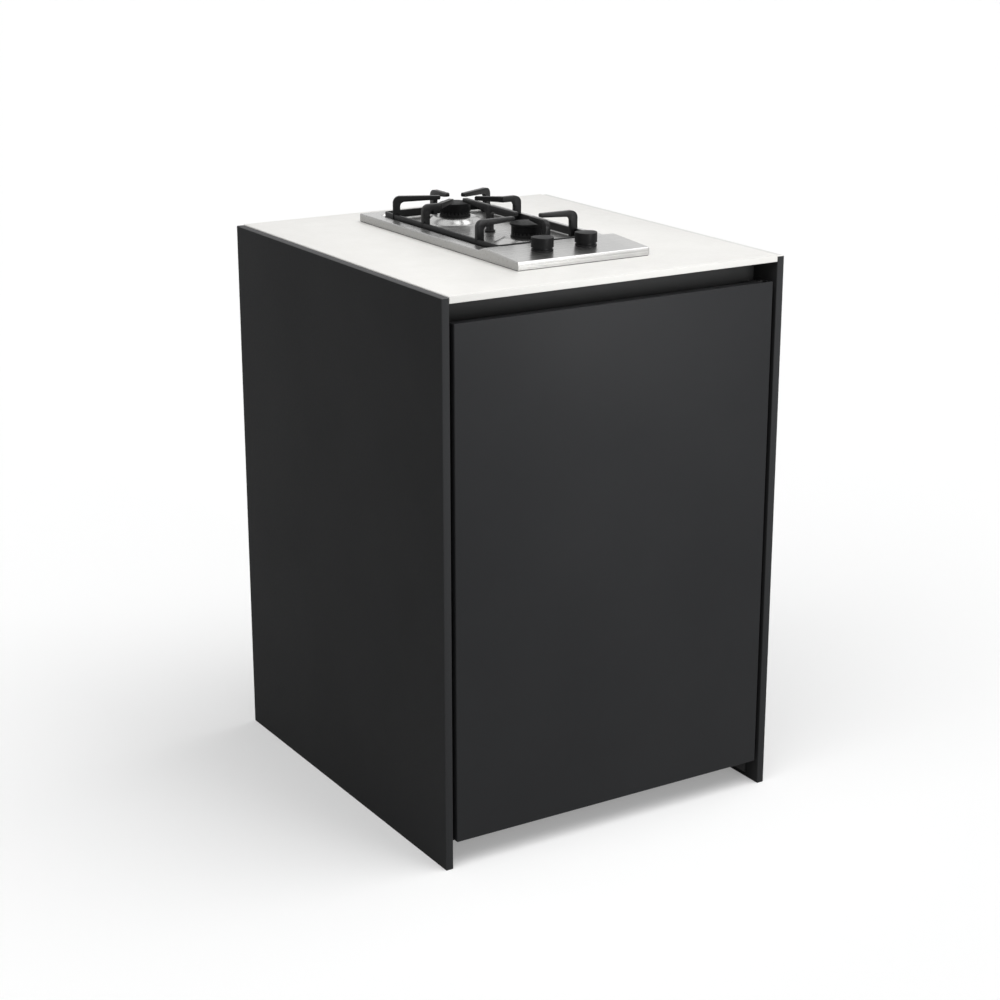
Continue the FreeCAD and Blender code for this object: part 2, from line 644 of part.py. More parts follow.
def hob_under_box():
    """Sheet box under the tray that closes in the burners and the gas train."""
    wall = s.box_wall
    outer = block(hob_x(-box_half), hob_x(box_half), box_front, box_rear, box_floor, sheet_under)
    room = block(hob_x(-box_half + wall), hob_x(box_half - wall), box_front + wall, box_rear - wall,
                 box_floor + wall, sheet_under + PAST)
    elbow_x = hob_x(manifold_end + s.elbow_size / 2)
    hole = rod(elbow_x, hob_y + s.manifold_front, box_floor - PAST, box_floor + wall + PAST,
               s.manifold_radius + s.elbow_gap)
    solid_node("hob_under_box", outer.cut(room).cut(hole))


def hob_clamps():
    """Four brackets on the box with screws that pull the hob down onto the worktop."""
    clamps, screws = [], []
    arm_top = top_under - s.clamp_drop
    for sign in SIDES.values():
        wall = s.hob_side + sign * box_half
        for y in (box_front + s.clamp_inset, box_rear - s.clamp_inset):
            near, far = y - s.clamp_wide / 2, y + s.clamp_wide / 2
            head_top = arm_top - s.clamp_thick
            leg = block(*span(wall, wall + sign * s.clamp_thick), near, far, arm_top - s.clamp_leg, arm_top)
            arm = block(*span(wall, wall + sign * s.clamp_arm), near, far, head_top, arm_top)
            screw_x = wall + sign * (s.clamp_arm - s.clamp_screw_inset)
            hole = rod(screw_x, y, head_top - PAST, arm_top + PAST, s.clamp_screw + s.screw_clearance)
            clamps.append(leg.fuse(arm).cut(hole).removeSplitter())
            shank = rod(screw_x, y, head_top, top_under, s.clamp_screw)
            head = rod(screw_x, y, head_top - s.clamp_head_high, head_top, s.clamp_head)
            screws.append(shank.fuse(head).removeSplitter())
    solid_node("hob_clamps", Part.makeCompound(clamps))
    solid_node("hob_clamp_screws", Part.makeCompound(screws))


# Burners

cup_low = dome_level - s.sheet_thick - s.cup_deep


def burner(name, y, has_lip):
    place = (hob_x(0), y)
    cup = new_body(f"burner_cup_{name}")
    bore = s.cup_radius - s.cup_wall
    neck = s.burner_hole - s.neck_clearance
    neck_bore = neck - s.neck_wall
    flange_low = s.cup_deep - s.flange_thick
    neck_top = s.cup_deep + s.sheet_thick + s.neck_high
    revolve(cup, [(0, -s.inlet_high), (s.inlet_radius, -s.inlet_high), (s.inlet_radius, 0), (s.cup_radius, 0),
                  (s.cup_radius, flange_low), (s.flange_radius, flange_low), (s.flange_radius, s.cup_deep),
                  (neck, s.cup_deep), (neck, neck_top), (neck_bore, neck_top), (neck_bore, flange_low),
                  (bore, flange_low - s.cup_wall), (bore, s.cup_wall), (0, s.cup_wall)])
    holes = [(across, along, radius + s.probe_clearance) for _, across, along, radius in probe_places()]
    pocket(cup, sketch(cup, "XY_Plane", s.cup_deep, circles=holes), s.flange_thick + PAST)
    stand(cup, *place, cup_low)

    injector = new_body(f"injector_{name}")
    revolve(injector, [(0, 0), (s.injector_radius, 0), (s.injector_radius, s.injector_shoulder),
                       (s.injector_neck_radius, s.injector_neck), (s.injector_tip_radius, s.injector_high),
                       (0, s.injector_high)])
    stand(injector, *place, cup_low + s.cup_wall)

    spreader = new_body(f"flame_spreader_{name}")
    outer = s.spreader_radius - s.cap_waist
    lip = outer + s.spreader_lip
    inside = outer - s.spreader_wall
    hub = neck + s.touch_gap
    hub_top = s.neck_high + s.spreader_hub
    revolve(spreader, [(hub, 0), (lip, 0), (lip, s.spreader_lip_high), (outer, s.spreader_lip_high),
                       (outer, s.spreader_high), (inside, s.spreader_high), (inside, hub_top), (hub, hub_top)])
    half = s.port_wide / 2
    notch = rectangle(inside - PAST, lip, -half, half)
    port = pocket(spreader, sketch(spreader, "XY_Plane", s.spreader_high, notch), s.port_deep)
    ring = spreader.newObject("PartDesign::PolarPattern", f"{spreader.Label}_ports")
    ring.Originals = [port]
    ring.Axis = (port.Profile[0], ["N_Axis"])
    ring.Angle = 360
    bind(ring, "Occurrences", s.port_count)
    spreader.Tip = ring
    document.recompute()
    stand(spreader, *place, dome_level)

    cap = new_body(f"burner_cap_{name}")
    waist = s.cap_radius - (s.cap_waist if has_lip else 0)
    rim = s.cap_radius + (s.cap_lip - s.cap_waist if has_lip else 0)
    lip_low = s.cap_high - s.cap_lip_high
    side = [(waist, lip_low - s.cap_lip / 2), (rim, lip_low)] if has_lip else []
    hollow = inside - s.cap_overlap
    revolve(cap, [(0, s.cap_hollow), (hollow, s.cap_hollow), (hollow, 0), (waist, 0), *side,
                  (rim, s.cap_high - s.cap_ease), (rim - s.cap_ease, s.cap_high), (0, s.cap_high)])
    stand(cap, *place, dome_level + s.spreader_high)

    tips = {"igniter": s.igniter_tip, "flame_sensor": s.sensor_tip}
    for probe, across, along, radius in probe_places():
        x, probe_y = hob_x(across), y + along
        collar_top = dome_level + s.collar_high
        stem_top = collar_top + s.probe_above
        stem = rod(x, probe_y, dome_level - s.probe_below, stem_top, radius)
        collar = rod(x, probe_y, dome_level, collar_top, radius + s.collar_wide)
        wire = rod(x, probe_y, stem_top, collar_top + tips[probe], s.wire_radius)
        solid_node(f"{probe}_{name}", stem.fuse([collar, wire]).removeSplitter())


# Gas train: manifold, inlet elbow, taps and feed pipes

tap_floor = box_floor + s.box_wall + s.tap_clear
inlet_level = cup_low - s.inlet_high / 2
tap_top = tap_floor + s.tap_high
manifold_y = hob_y + s.manifold_front
plug_low = tap_top - s.plug_roof - s.plug_long
bezel_top = deck_height(s.knob_from_front) + s.bezel_high
knob_low = bezel_top + s.push_travel + s.knob_clearance


def gas_manifold():
    length = s.manifold_left + manifold_end
    left = hob_x(-s.manifold_left)
    bar = rod_along(ALONG_X, left, manifold_y, inlet_level, length, s.manifold_radius)
    bore = rod_along(ALONG_X, left + s.manifold_wall, manifold_y, inlet_level, length,
                     s.manifold_radius - s.manifold_wall)
    solid_node("gas_manifold", bar.cut(bore))


def gas_inlet_elbow():
    """Elbow on the manifold's right end, down through the box to a half-inch male thread."""
    left = hob_x(manifold_end)
    half = s.elbow_size / 2
    axis_x = left + half
    low = box_floor - s.elbow_drop
    shape = block(left, left + s.elbow_size, manifold_y - half, manifold_y + half,
                  inlet_level - half, inlet_level + half)
    stem = rod(axis_x, manifold_y, low, inlet_level, s.manifold_radius)
    nut = hexagon_block(axis_x, manifold_y, low, low + s.collar_nut_high, s.collar_nut)
    thread = rod(axis_x, manifold_y, low - s.thread_long, low, s.thread_radius)
    bore_radius = s.manifold_radius - s.manifold_wall
    upright_bore = rod(axis_x, manifold_y, low - s.thread_long - PAST, inlet_level, bore_radius)
    cross_bore = rod_along(ALONG_X, left - PAST, manifold_y, inlet_level, half + PAST, bore_radius)
    shape = shape.fuse([stem, nut, thread]).cut(upright_bore).cut(cross_bore)
    solid_node("gas_inlet_elbow", shape.removeSplitter())


def tap(side, sign):
    x = knob_x(sign)
    shape = block(x - s.tap_half, x + s.tap_half, knob_y - s.tap_front, knob_y + s.tap_rear, tap_floor, tap_top)
    saddle = rod_along(ALONG_X, x - s.tap_half - PAST, manifold_y, inlet_level, 2 * (s.tap_half + PAST),
                       s.manifold_radius + s.plug_clearance)
    neck = rod(x, knob_y, tap_top, sheet_under - s.touch_gap, s.tap_neck)
    room = rod(x, knob_y, plug_low, plug_low + s.plug_long + s.plug_clearance, s.plug_radius + s.plug_clearance)
    throat = rod(x, knob_y, plug_low, sheet_under + PAST, s.tap_bore)
    shape = shape.cut(saddle).fuse(neck).cut(room).cut(throat)
    solid_node(f"tap_body_{side}", shape.removeSplitter())

    plug = rod(x, knob_y, plug_low + s.touch_gap, plug_low + s.plug_long - s.touch_gap, s.plug_radius)
    plug_top = plug_low + s.plug_long - s.touch_gap
    socket_low = plug_top - s.spindle_grip - s.spindle_room
    reach = 2 * s.spindle_radius
    flat_y = knob_y + s.spindle_radius - s.spindle_flat
    land_y = flat_y + s.spindle_clearance
    land = block(x - reach, x + reach, land_y, land_y + reach, socket_low - PAST, plug_top + 2 * PAST)
    socket = rod(x, knob_y, socket_low, plug_top + PAST, s.spindle_radius + s.spindle_clearance)
    solid_node(f"tap_plug_{side}", plug.cut(socket.cut(land)))

    spindle_low = plug_top - s.spindle_grip
    spindle_top = knob_low + s.knob_high - s.knob_roof
    flat = block(x - reach, x + reach, flat_y, flat_y + reach, spindle_low - PAST, plug_top + s.spindle_room)
    solid_node(f"spindle_{side}", rod(x, knob_y, spindle_low, spindle_top, s.spindle_radius).cut(flat))


def feed_pipe(name, sign, y):
    """Bent tube from a tap's outlet to a burner's inlet boss: one run back, one bend, one run in."""
    x = float(knob_x(sign))
    start = float(knob_y + s.tap_rear)
    level = float(inlet_level)
    bend = float(s.pipe_bend)
    end = float(hob_x(sign * s.inlet_radius))
    turn = float(y)
    corner = bend * (1 - math.sqrt(0.5))
    path = Part.Wire([
        Part.LineSegment(Vector(x, start, level), Vector(x, turn - bend, level)).toShape(),
        Part.Arc(Vector(x, turn - bend, level), Vector(x - sign * corner, turn - corner, level),
                 Vector(x - sign * bend, turn, level)).toShape(),
        Part.LineSegment(Vector(x - sign * bend, turn, level), Vector(end, turn, level)).toShape(),
    ])
    ring = Part.Wire([Part.Circle(Vector(x, start, level), ALONG_Y, float(s.pipe_radius)).toShape()])
    pipe = path.makePipeShell([ring], True, True)
    boss = rod(hob_x(0), y, inlet_level - s.inlet_high, inlet_level + s.inlet_high, s.inlet_radius)
    solid_node(f"feed_pipe_{name}", pipe.cut(boss))


# Knobs

def knob(side, sign):
    """Moulded knob: hollow skirt, central boss on the spindle, a creased top and a pointer nub."""
    x = knob_x(sign)
    high = knob_low + s.knob_high
    ceiling = high - s.knob_roof
    radius = s.knob_radius
    shape = rod(x, knob_y, knob_low, high, radius)
    rims = [edge for edge in shape.Edges if len(edge.Vertexes) == 1]
    top_rim = [edge for edge in rims if edge.Vertexes[0].Z > float(high) - SAME]
    shape = shape.makeFillet(float(s.knob_ease), top_rim)
    hollow = rod(x, knob_y, knob_low - PAST, ceiling, radius - s.knob_wall)
    boss = rod(x, knob_y, ceiling - s.spindle_grip, high, s.knob_boss)
    socket = rod(x, knob_y, knob_low - PAST, ceiling, s.spindle_radius + s.spindle_clearance)
    shape = shape.cut(hollow.cut(boss)).cut(socket)
    crease = math.degrees(math.atan2(float(s.knob_crease), float(radius)))
    reach = 2 * float(radius)
    for lean in (-1, 1):
        plane = Part.makeBox(2 * reach, reach, reach, Vector(-reach, 0 if lean > 0 else -reach, 0))
        shape = shape.cut(turned(x, knob_y, high, ALONG_X, -lean * crease, plane))
    nub_z = high - s.knob_ease - 2 * s.nub_radius
    nub = rod_along(ALONG_X, x + radius - s.nub_root, knob_y, nub_z, s.nub_root + s.nub_long, s.nub_radius)
    solid_node(f"knob_{side}", shape.fuse(nub).removeSplitter())


def knob_bezel(side, sign):
    """Ring on the sloping deck round the spindle, level on top."""
    x = knob_x(sign)
    ring = rod(x, knob_y, rim_top, bezel_top, s.bezel_radius)
    ring = ring.cut(rod(x, knob_y, rim_top - PAST, bezel_top + PAST, s.bezel_bore))
    solid_node(f"knob_bezel_{side}", ring.cut(tray_form(Length.of(0))))


# Pan support: a bar frame lying in the well, with welded fingers that reach over the burners

support_low = well_floor + s.foot_thick
finger_level = s.height + s.finger_top


def bent_outline(y, steps):
    """Face in the XZ plane at y from lines (two points) and arcs (three points), each (across, up)."""
    edges = []
    for step in steps:
        points = [Vector(across, y, up) for across, up in step]
        curve = Part.LineSegment(*points) if len(points) == 2 else Part.Arc(*points)
        edges.append(curve.toShape())
    return Part.Face(Part.Wire(edges))


def blunt_end(reach, top, tip):
    """End of an arm seen from the side: square, with its two corners taken off."""
    ease = float(s.tip_ease)
    return [
        [(reach - ease, top), (reach, top - ease)],
        [(reach, top - ease), (reach, top - tip + ease)],
        [(reach, top - tip + ease), (reach - ease, top - tip)],
    ]


def finger_profile(reach, tip):
    """Side view of a finger: foot at the origin, leg upright, arm along +X thinning towards its tip."""
    half = float(s.leg_wide) / 2
    high = float(finger_level - support_low)
    outer = float(s.bend_outer)
    inside = float(s.bend_inner)
    under = high - float(s.finger_deep)
    end = reach - float(s.tip_ease)
    lean = 1 - math.sqrt(0.5)
    bend = (-half + outer * lean, high - outer * lean)
    inner_bend = (half + inside * lean, under - inside * lean)
    return bent_outline(-float(s.finger_thick) / 2, [
        [(-half, 0), (-half, high - outer)],
        [(-half, high - outer), bend, (-half + outer, high)],
        [(-half + outer, high), (end, high)],
        *blunt_end(reach, high, tip),
        [(end, high - tip), (half + inside, under)],
        [(half + inside, under), inner_bend, (half, under - inside)],
        [(half, under - inside), (half, 0)],
        [(half, 0), (-half, 0)],
    ])


def finger(x, y, angle, reach, tip):
    """Finger standing at a place and reaching towards angle (degrees from +X)."""
    shape = finger_profile(reach, tip).extrude(ALONG_Y * float(s.finger_thick))
    return turned(x, y, support_low, UP, angle, shape)


def finger_arm(x, y, angle, length):
    """Second run of a cranked finger: a bar that thins from full depth to the tip."""
    deep, tip = float(s.finger_deep), float(s.finger_tip)
    thick = float(s.finger_thick)
    end = length - float(s.tip_ease)
    outline = bent_outline(-thick / 2, [
        [(0, -deep), (0, 0)],
        [(0, 0), (end, 0)],
        *blunt_end(length, 0, tip),
        [(end, -tip), (0, -deep)],
    ])
    return turned(x, y, finger_level, UP, angle, outline.extrude(ALONG_Y * thick))


def cranked_finger(x, y, sign):
    """Finger that runs straight inwards, then turns back towards the rear burner."""
    run = float(s.kink_run)
    heading = 0 if sign < 0 else 180
    turn = float(s.kink_turn) if sign < 0 else 180 - float(s.kink_turn)
    corner = x - sign * run
    deep = float(s.finger_deep)
    joint = rod(corner, y, finger_level - deep, finger_level, s.finger_thick / 2)
    lead = finger(x, y, heading, run + deep, deep)
    far = corner - sign * 2 * deep
    beyond = block(*span(corner, far), y - deep, y + deep, support_low, finger_level + PAST)
    return lead.cut(beyond).fuse([joint, finger_arm(corner, y, turn, float(s.kink_arm))])


def pan_support():
    half, bar = s.frame_half, s.bar_wide
    low_y, high_y = hob_y + s.frame_front, hob_y + s.frame_rear
    top = support_low + s.bar_high
    frame = rounded_block(hob_x(-half), hob_x(half), low_y, high_y, support_low, top, s.frame_corner)
    hole = rounded_block(hob_x(-half + bar), hob_x(half - bar), low_y + bar, high_y - bar,
                         support_low - PAST, top + PAST, s.frame_corner - bar)
    frame = frame.cut(hole)
    tip = float(s.finger_tip)
    ring = float(s.tip_ring)
    leg_half = s.leg_wide / 2
    front_y, rear_y = BURNERS["front"], BURNERS["rear"]
    pieces = []
    for sign in SIDES.values():
        stand_x = hob_x(sign * (half - leg_half))
        reach = float(half - leg_half) - ring
        heading = 0 if sign < 0 else 180
        pieces.append(finger(stand_x, front_y, heading, reach, tip))
        back = float(s.rear_leg_back)
        lean = math.degrees(math.atan2(back, float(half - leg_half)))
        slant = -lean if sign < 0 else 180 + lean
        slant_reach = math.hypot(float(half - leg_half), back) - ring
        pieces.append(finger(stand_x, rear_y + back, slant, slant_reach, tip))
        pieces.append(cranked_finger(stand_x, rear_y - s.rear_leg_ahead, sign))
    rear_leg = high_y - leg_half
    pieces.append(finger(hob_x(0), rear_leg, -90, float(rear_leg - rear_y) - ring, tip))
    front_leg = low_y + leg_half
    pieces.append(finger(hob_x(0), front_leg, 90, float(front_y - front_leg) - ring / 2, tip))
    solid_node("pan_support", frame)
    solid_node("pan_fingers", Part.makeCompound([piece.cut(frame).removeSplitter() for piece in pieces]))

    feet = []
    for x in (hob_x(-half + bar / 2), hob_x(half - bar / 2)):
        for y in (low_y + s.foot_inset, high_y - s.foot_inset):
            feet.append(rod(x, y, well_floor, support_low, s.foot_radius))
    solid_node("pan_support_feet", Part.makeCompound(feet))


def centre_bar():
    """Bar between the burners: two fingers back to back on one post, notched on top, with a round foot."""
    middle = (BURNERS["front"] + BURNERS["rear"]) / 2
    half = float(s.centre_bar_long) / 2
    x = hob_x(0)
    foot = rod(x, middle, well_floor, well_floor + s.centre_foot_high, s.centre_foot)
    arms = [finger(x, middle, heading, half, float(s.finger_tip)) for heading in (90, -90)]
    thick = s.finger_thick
    notch = rod_along(ALONG_X, x - thick, middle, finger_level + s.centre_notch, 2 * thick, s.centre_notch * 2)
    solid_node("centre_pan_bar", foot.fuse(arms).cut(notch).removeSplitter())


# Build every piece

for side, sign in SIDES.items():
    side_panel(side, sign)
    cabinet_angles(side, sign)
worktop()
back_panel()
bottom_panel()
rail("front_rail", rail_front)
rail("rear_rail", rear_rail_front)
cabinet_screws()
hose_grommet()
door_panel()
for name, level, sign in (("top", door_top - s.pivot_nest, 1), ("bottom", s.door_low + s.pivot_nest, -1)):
    pivot_bush(name, level, sign)
    pivot_bracket(name, level, sign)
door_catch()
hob_tray()
hob_seal()
hob_under_box()
hob_clamps()
for name, y in BURNERS.items():
    burner(name, y, has_lip=name == "front")
gas_manifold()
gas_inlet_elbow()
feed_pipe("rear", SIDES["left"], BURNERS["rear"])
feed_pipe("front", SIDES["right"], BURNERS["front"])
for side, sign in SIDES.items():
    tap(side, sign)
    knob(side, sign)
    knob_bezel(side, sign)
pan_support()
centre_bar()

# Check the document and write one file for each piece

document.recompute()
for item in document.Objects:
    if "Invalid" in item.State or "Error" in item.State:
        raise RuntimeError(f"{item.Label} did not compute: {item.State}")
nodes = [item for item in document.Objects if item.TypeId in ("PartDesign::Body", "Part::Feature")]
for node in nodes:
    if node.Shape.isNull() or not node.Shape.isValid() or not node.Shape.Solids:
        raise RuntimeError(f"{node.Label} has no valid solid")
os.makedirs("parts", exist_ok=True)
for node in nodes:
    node.Shape.exportStep(f"parts/{node.Label}.step")
print(len(nodes), "pieces written")
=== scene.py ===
# %% [markdown]
# # Outdoor kitchen side burner unit
# A cabinet of dark boards with a pale stone worktop and a narrow two-burner gas hob set into it. The
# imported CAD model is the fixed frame: every board, tap and screw is already there at its real size. This
# script gives each surface its finish and remakes the pieces whose soft edges and fine repeats the CAD
# leaves plain. Everything is in metres, in the frame of the CAD model.

# %% Load the frame
import json
import math

import bmesh
import bpy
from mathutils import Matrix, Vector

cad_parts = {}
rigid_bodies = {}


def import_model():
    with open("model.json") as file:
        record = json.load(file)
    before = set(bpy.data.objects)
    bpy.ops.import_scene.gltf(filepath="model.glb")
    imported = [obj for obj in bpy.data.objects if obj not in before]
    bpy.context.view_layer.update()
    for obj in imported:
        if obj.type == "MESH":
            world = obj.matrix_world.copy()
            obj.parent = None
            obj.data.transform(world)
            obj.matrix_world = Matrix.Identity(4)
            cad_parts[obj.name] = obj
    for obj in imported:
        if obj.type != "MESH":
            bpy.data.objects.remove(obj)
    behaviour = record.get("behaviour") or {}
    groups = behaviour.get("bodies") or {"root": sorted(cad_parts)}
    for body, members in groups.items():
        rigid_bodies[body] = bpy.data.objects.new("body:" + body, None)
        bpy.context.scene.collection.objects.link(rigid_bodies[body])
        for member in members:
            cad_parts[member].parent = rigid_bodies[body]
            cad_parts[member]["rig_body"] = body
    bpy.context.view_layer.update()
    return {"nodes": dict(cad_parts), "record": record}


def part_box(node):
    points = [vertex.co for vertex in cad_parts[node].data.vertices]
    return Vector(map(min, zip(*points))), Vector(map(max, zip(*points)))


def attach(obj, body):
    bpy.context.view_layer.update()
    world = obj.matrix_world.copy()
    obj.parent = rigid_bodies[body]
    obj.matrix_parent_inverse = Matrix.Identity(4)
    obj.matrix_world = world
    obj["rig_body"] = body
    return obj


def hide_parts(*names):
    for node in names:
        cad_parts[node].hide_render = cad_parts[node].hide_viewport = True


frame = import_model()
NODES = frame["nodes"]
SLOT_OF = {row["node"]: row["material_slot"] for row in frame["record"]["subparts"]}
MM = 0.001

# %% [markdown]
# ## The camera
# The photograph looks down on the left front corner of the cabinet. A camera can be placed by eye, or
# worked out from the places where known corners fall in the picture. Here the place and the tilt come
# from such a fit, so the render can be laid over the photograph. It needs no shift and no roll.

# %% Camera
EYE = (-1.8305, -2.9724, 1.5655)
LOOK_DOWN = math.radians(17.464)
LOOK_RIGHT = math.radians(31.608)
LENS = 76.667
SENSOR = 36.0

camera_data = bpy.data.cameras.new("photo_camera")
camera_data.lens = LENS
camera_data.sensor_width = SENSOR
camera = bpy.data.objects.new("photo_camera", camera_data)
camera.location = EYE
camera.rotation_euler = (math.pi / 2 - LOOK_DOWN, 0, -LOOK_RIGHT)
bpy.context.scene.collection.objects.link(camera)
bpy.context.scene.camera = camera
bpy.context.scene.view_settings.view_transform = "Standard"
print(f"camera {LENS} mm at {EYE}")

# %% [markdown]
# ## Node trees in few words
# Every finish and every rule below is a node tree. One helper adds a node, sets its properties and values
# and plugs in its inputs, so that a tree reads from top to bottom like a recipe.

# %% A helper for node trees
def add_node(tree, kind, settings=None, values=None, links=None):
    """Add a node: settings are its properties, values its inputs, links its inputs fed by other sockets."""
    made = tree.nodes.new(kind)
    for name, value in (settings or {}).items():
        setattr(made, name, value)
    for socket, value in (values or {}).items():
        made.inputs[socket].default_value = value
    for socket, source in (links or {}).items():
        tree.links.new(source, made.inputs[socket])
    return made


print("node helper ready")

# %% [markdown]
# ## The studio
# The photograph shows the unit on a white sweep that has no visible end, with soft grey shadows beside
# the boards. The floor is one wide sheet. It is lit like any other surface, so it takes the shadow. To
# the camera, and in gloss and glass, it also glows a little, so that its unshaded part is white without
# more light on the object.

# %% Floor
FLOOR_HALF = 30.0
FLOOR_GREY = (0.72, 0.72, 0.72, 1)
FLOOR_GLOW = 0.255


def seen_directly(tree):
    """1 for rays that show the studio itself: from the camera, from gloss and through glass."""
    rays = add_node(tree, "ShaderNodeLightPath")
    glossy = add_node(tree, "ShaderNodeMath", {"operation": "MAXIMUM"},
                      links={0: rays.outputs["Is Camera Ray"], 1: rays.outputs["Is Glossy Ray"]})
    every = add_node(tree, "ShaderNodeMath", {"operation": "MAXIMUM"},
                     links={0: glossy.outputs[0], 1: rays.outputs["Is Transmission Ray"]})
    return every.outputs[0]


floor_mesh = bpy.data.meshes.new("studio_floor")
floor_corners = [(-FLOOR_HALF, -FLOOR_HALF, 0), (FLOOR_HALF, -FLOOR_HALF, 0),
                 (FLOOR_HALF, FLOOR_HALF, 0), (-FLOOR_HALF, FLOOR_HALF, 0)]
floor_mesh.from_pydata(floor_corners, [], [(0, 1, 2, 3)])
floor = bpy.data.objects.new("studio_floor", floor_mesh)
bpy.context.scene.collection.objects.link(floor)

floor_finish = bpy.data.materials.new("studio_floor")
floor_finish.use_nodes = True
floor_tree = floor_finish.node_tree
floor_tree.nodes.clear()
matt = add_node(floor_tree, "ShaderNodeBsdfDiffuse", values={"Color": FLOOR_GREY})
lift = add_node(floor_tree, "ShaderNodeMath", {"operation": "MULTIPLY"}, {1: FLOOR_GLOW},
                {0: seen_directly(floor_tree)})
glow = add_node(floor_tree, "ShaderNodeEmission", links={"Strength": lift.outputs[0]})
both = add_node(floor_tree, "ShaderNodeAddShader", links={0: matt.outputs[0], 1: glow.outputs[0]})
add_node(floor_tree, "ShaderNodeOutputMaterial", links={"Surface": both.outputs[0]})
floor_mesh.materials.append(floor_finish)
print(f"floor {2 * FLOOR_HALF:.0f} m wide")

# %% [markdown]
# The white room gives some light from all round, most from the front and a little more from the right.
# Like the floor it has two faces: on the object it is only this soft light, but to the camera, and in
# gloss and glass, it is plain white.

# %% White room
ROOM_LEVEL = 0.36
ROOM_RIGHT = 0.03
ROOM_FRONT = 0.20

world = bpy.data.worlds.new("studio_world")
bpy.context.scene.world = world
world.use_nodes = True
world_tree = world.node_tree
world_tree.nodes.clear()
way = add_node(world_tree, "ShaderNodeTexCoord")
apart = add_node(world_tree, "ShaderNodeSeparateXYZ", links={0: way.outputs["Generated"]})
sides = add_node(world_tree, "ShaderNodeMath", {"operation": "MULTIPLY_ADD"},
                 {1: ROOM_RIGHT, 2: ROOM_LEVEL}, {0: apart.outputs["X"]})
room = add_node(world_tree, "ShaderNodeMath", {"operation": "MULTIPLY_ADD"}, {1: -ROOM_FRONT},
                {0: apart.outputs["Y"], 2: sides.outputs[0]})
level = add_node(world_tree, "ShaderNodeMix", {"data_type": "FLOAT"}, {"B": 1.0},
                 {"A": room.outputs[0], "Factor": seen_directly(world_tree)})
sky = add_node(world_tree, "ShaderNodeBackground", values={"Color": (1, 1, 1, 1)},
               links={"Strength": level.outputs["Result"]})
add_node(world_tree, "ShaderNodeOutputWorld", links={"Surface": sky.outputs[0]})
print(f"room light {ROOM_LEVEL}, {ROOM_FRONT} more from the front")

# %% [markdown]
# Two wide soft lights hang overhead, to the right and to the left and both a little to the front: they
# make the soft shadows on both sides and the bright lines on the steel rim. A small softbox stands in
# front, about as high as the worktop, and makes the upper part of the door lighter than its foot.

# %% Lamps
OVERHEAD_SPREAD = math.radians(50)
FRONT_TILT = math.radians(14)
RIGHT_LEVEL, RIGHT_TILT = 1.48, math.radians(24)
LEFT_LEVEL, LEFT_TILT = 1.06, math.radians(-35)
BOX_POWER = 3.4
BOX_SIZE = 0.7
BOX_SPREAD = math.radians(75)
BOX_PLACE = (0.35, -1.75, 0.98)
BOX_AIM = (0.0, -0.35, 0.92)


def hang_overhead(name, strength, side_tilt):
    """Soft light that shines down from one side and a little from the front."""
    data = bpy.data.lights.new(name, "SUN")
    data.energy = strength
    data.angle = OVERHEAD_SPREAD
    lamp = bpy.data.objects.new(name, data)
    lamp.rotation_euler = (FRONT_TILT, side_tilt, 0)
    bpy.context.scene.collection.objects.link(lamp)


hang_overhead("overhead_right", RIGHT_LEVEL, RIGHT_TILT)
hang_overhead("overhead_left", LEFT_LEVEL, LEFT_TILT)

box_data = bpy.data.lights.new("softbox", "AREA")
box_data.energy = BOX_POWER
box_data.shape = "SQUARE"
box_data.size = BOX_SIZE
box_data.spread = BOX_SPREAD
softbox = bpy.data.objects.new("softbox", box_data)
softbox.location = BOX_PLACE
softbox.rotation_euler = (Vector(BOX_AIM) - Vector(BOX_PLACE)).to_track_quat("-Z", "Y").to_euler()
softbox.visible_camera = False
bpy.context.scene.collection.objects.link(softbox)
print(f"overhead {RIGHT_LEVEL} and {LEFT_LEVEL}, softbox {BOX_POWER} W")

# %% [markdown]
# ## Finishes
# A finish is never one flat colour: boards have a grain, stone has clouds and flecks, steel has brush
# lines. Each tree starts from the object's own coordinates, in metres, so a scale of 1000 gives marks
# about a millimetre wide. Values that are the same all over a surface are set on the shader itself.

# %% A finish and its first nodes
FINISH = {}


def new_finish(slot, metallic, specular):
    """Principled material for one of the record's slots, with its node tree and shader."""
    material = bpy.data.materials.new(slot)
    material.use_nodes = True
    tree = material.node_tree
    shader = tree.nodes["Principled BSDF"]
    shader.inputs["Metallic"].default_value = metallic
    shader.inputs["Specular IOR Level"].default_value = specular
    FINISH[slot] = material
    return tree, shader


def grain(tree, scale, detail=2.0, stretch=(1, 1, 1)):
    """Noise on object coordinates; stretch turns round marks into lines."""
    place = add_node(tree, "ShaderNodeTexCoord")
    turn = add_node(tree, "ShaderNodeMapping", values={"Scale": stretch},
                    links={"Vector": place.outputs["Object"]})
    noise = add_node(tree, "ShaderNodeTexNoise", values={"Scale": scale, "Detail": detail},
                     links={"Vector": turn.outputs[0]})
    return noise.outputs[0]


def between(tree, source, low, high, start=0.3, end=0.7):
    """Map a noise value to a range of numbers, or to a range of colours if low and high are colours."""
    if isinstance(low, tuple):
        ramp = add_node(tree, "ShaderNodeValToRGB", links={"Fac": source})
        for stop, at, colour in zip(ramp.color_ramp.elements, (start, end), (low, high)):
            stop.position = at
            stop.color = (*colour, 1)
        return ramp.outputs[0]
    spread = add_node(tree, "ShaderNodeMapRange", links={"Value": source},
                      values={"From Min": start, "From Max": end, "To Min": low, "To Max": high})
    return spread.outputs[0]


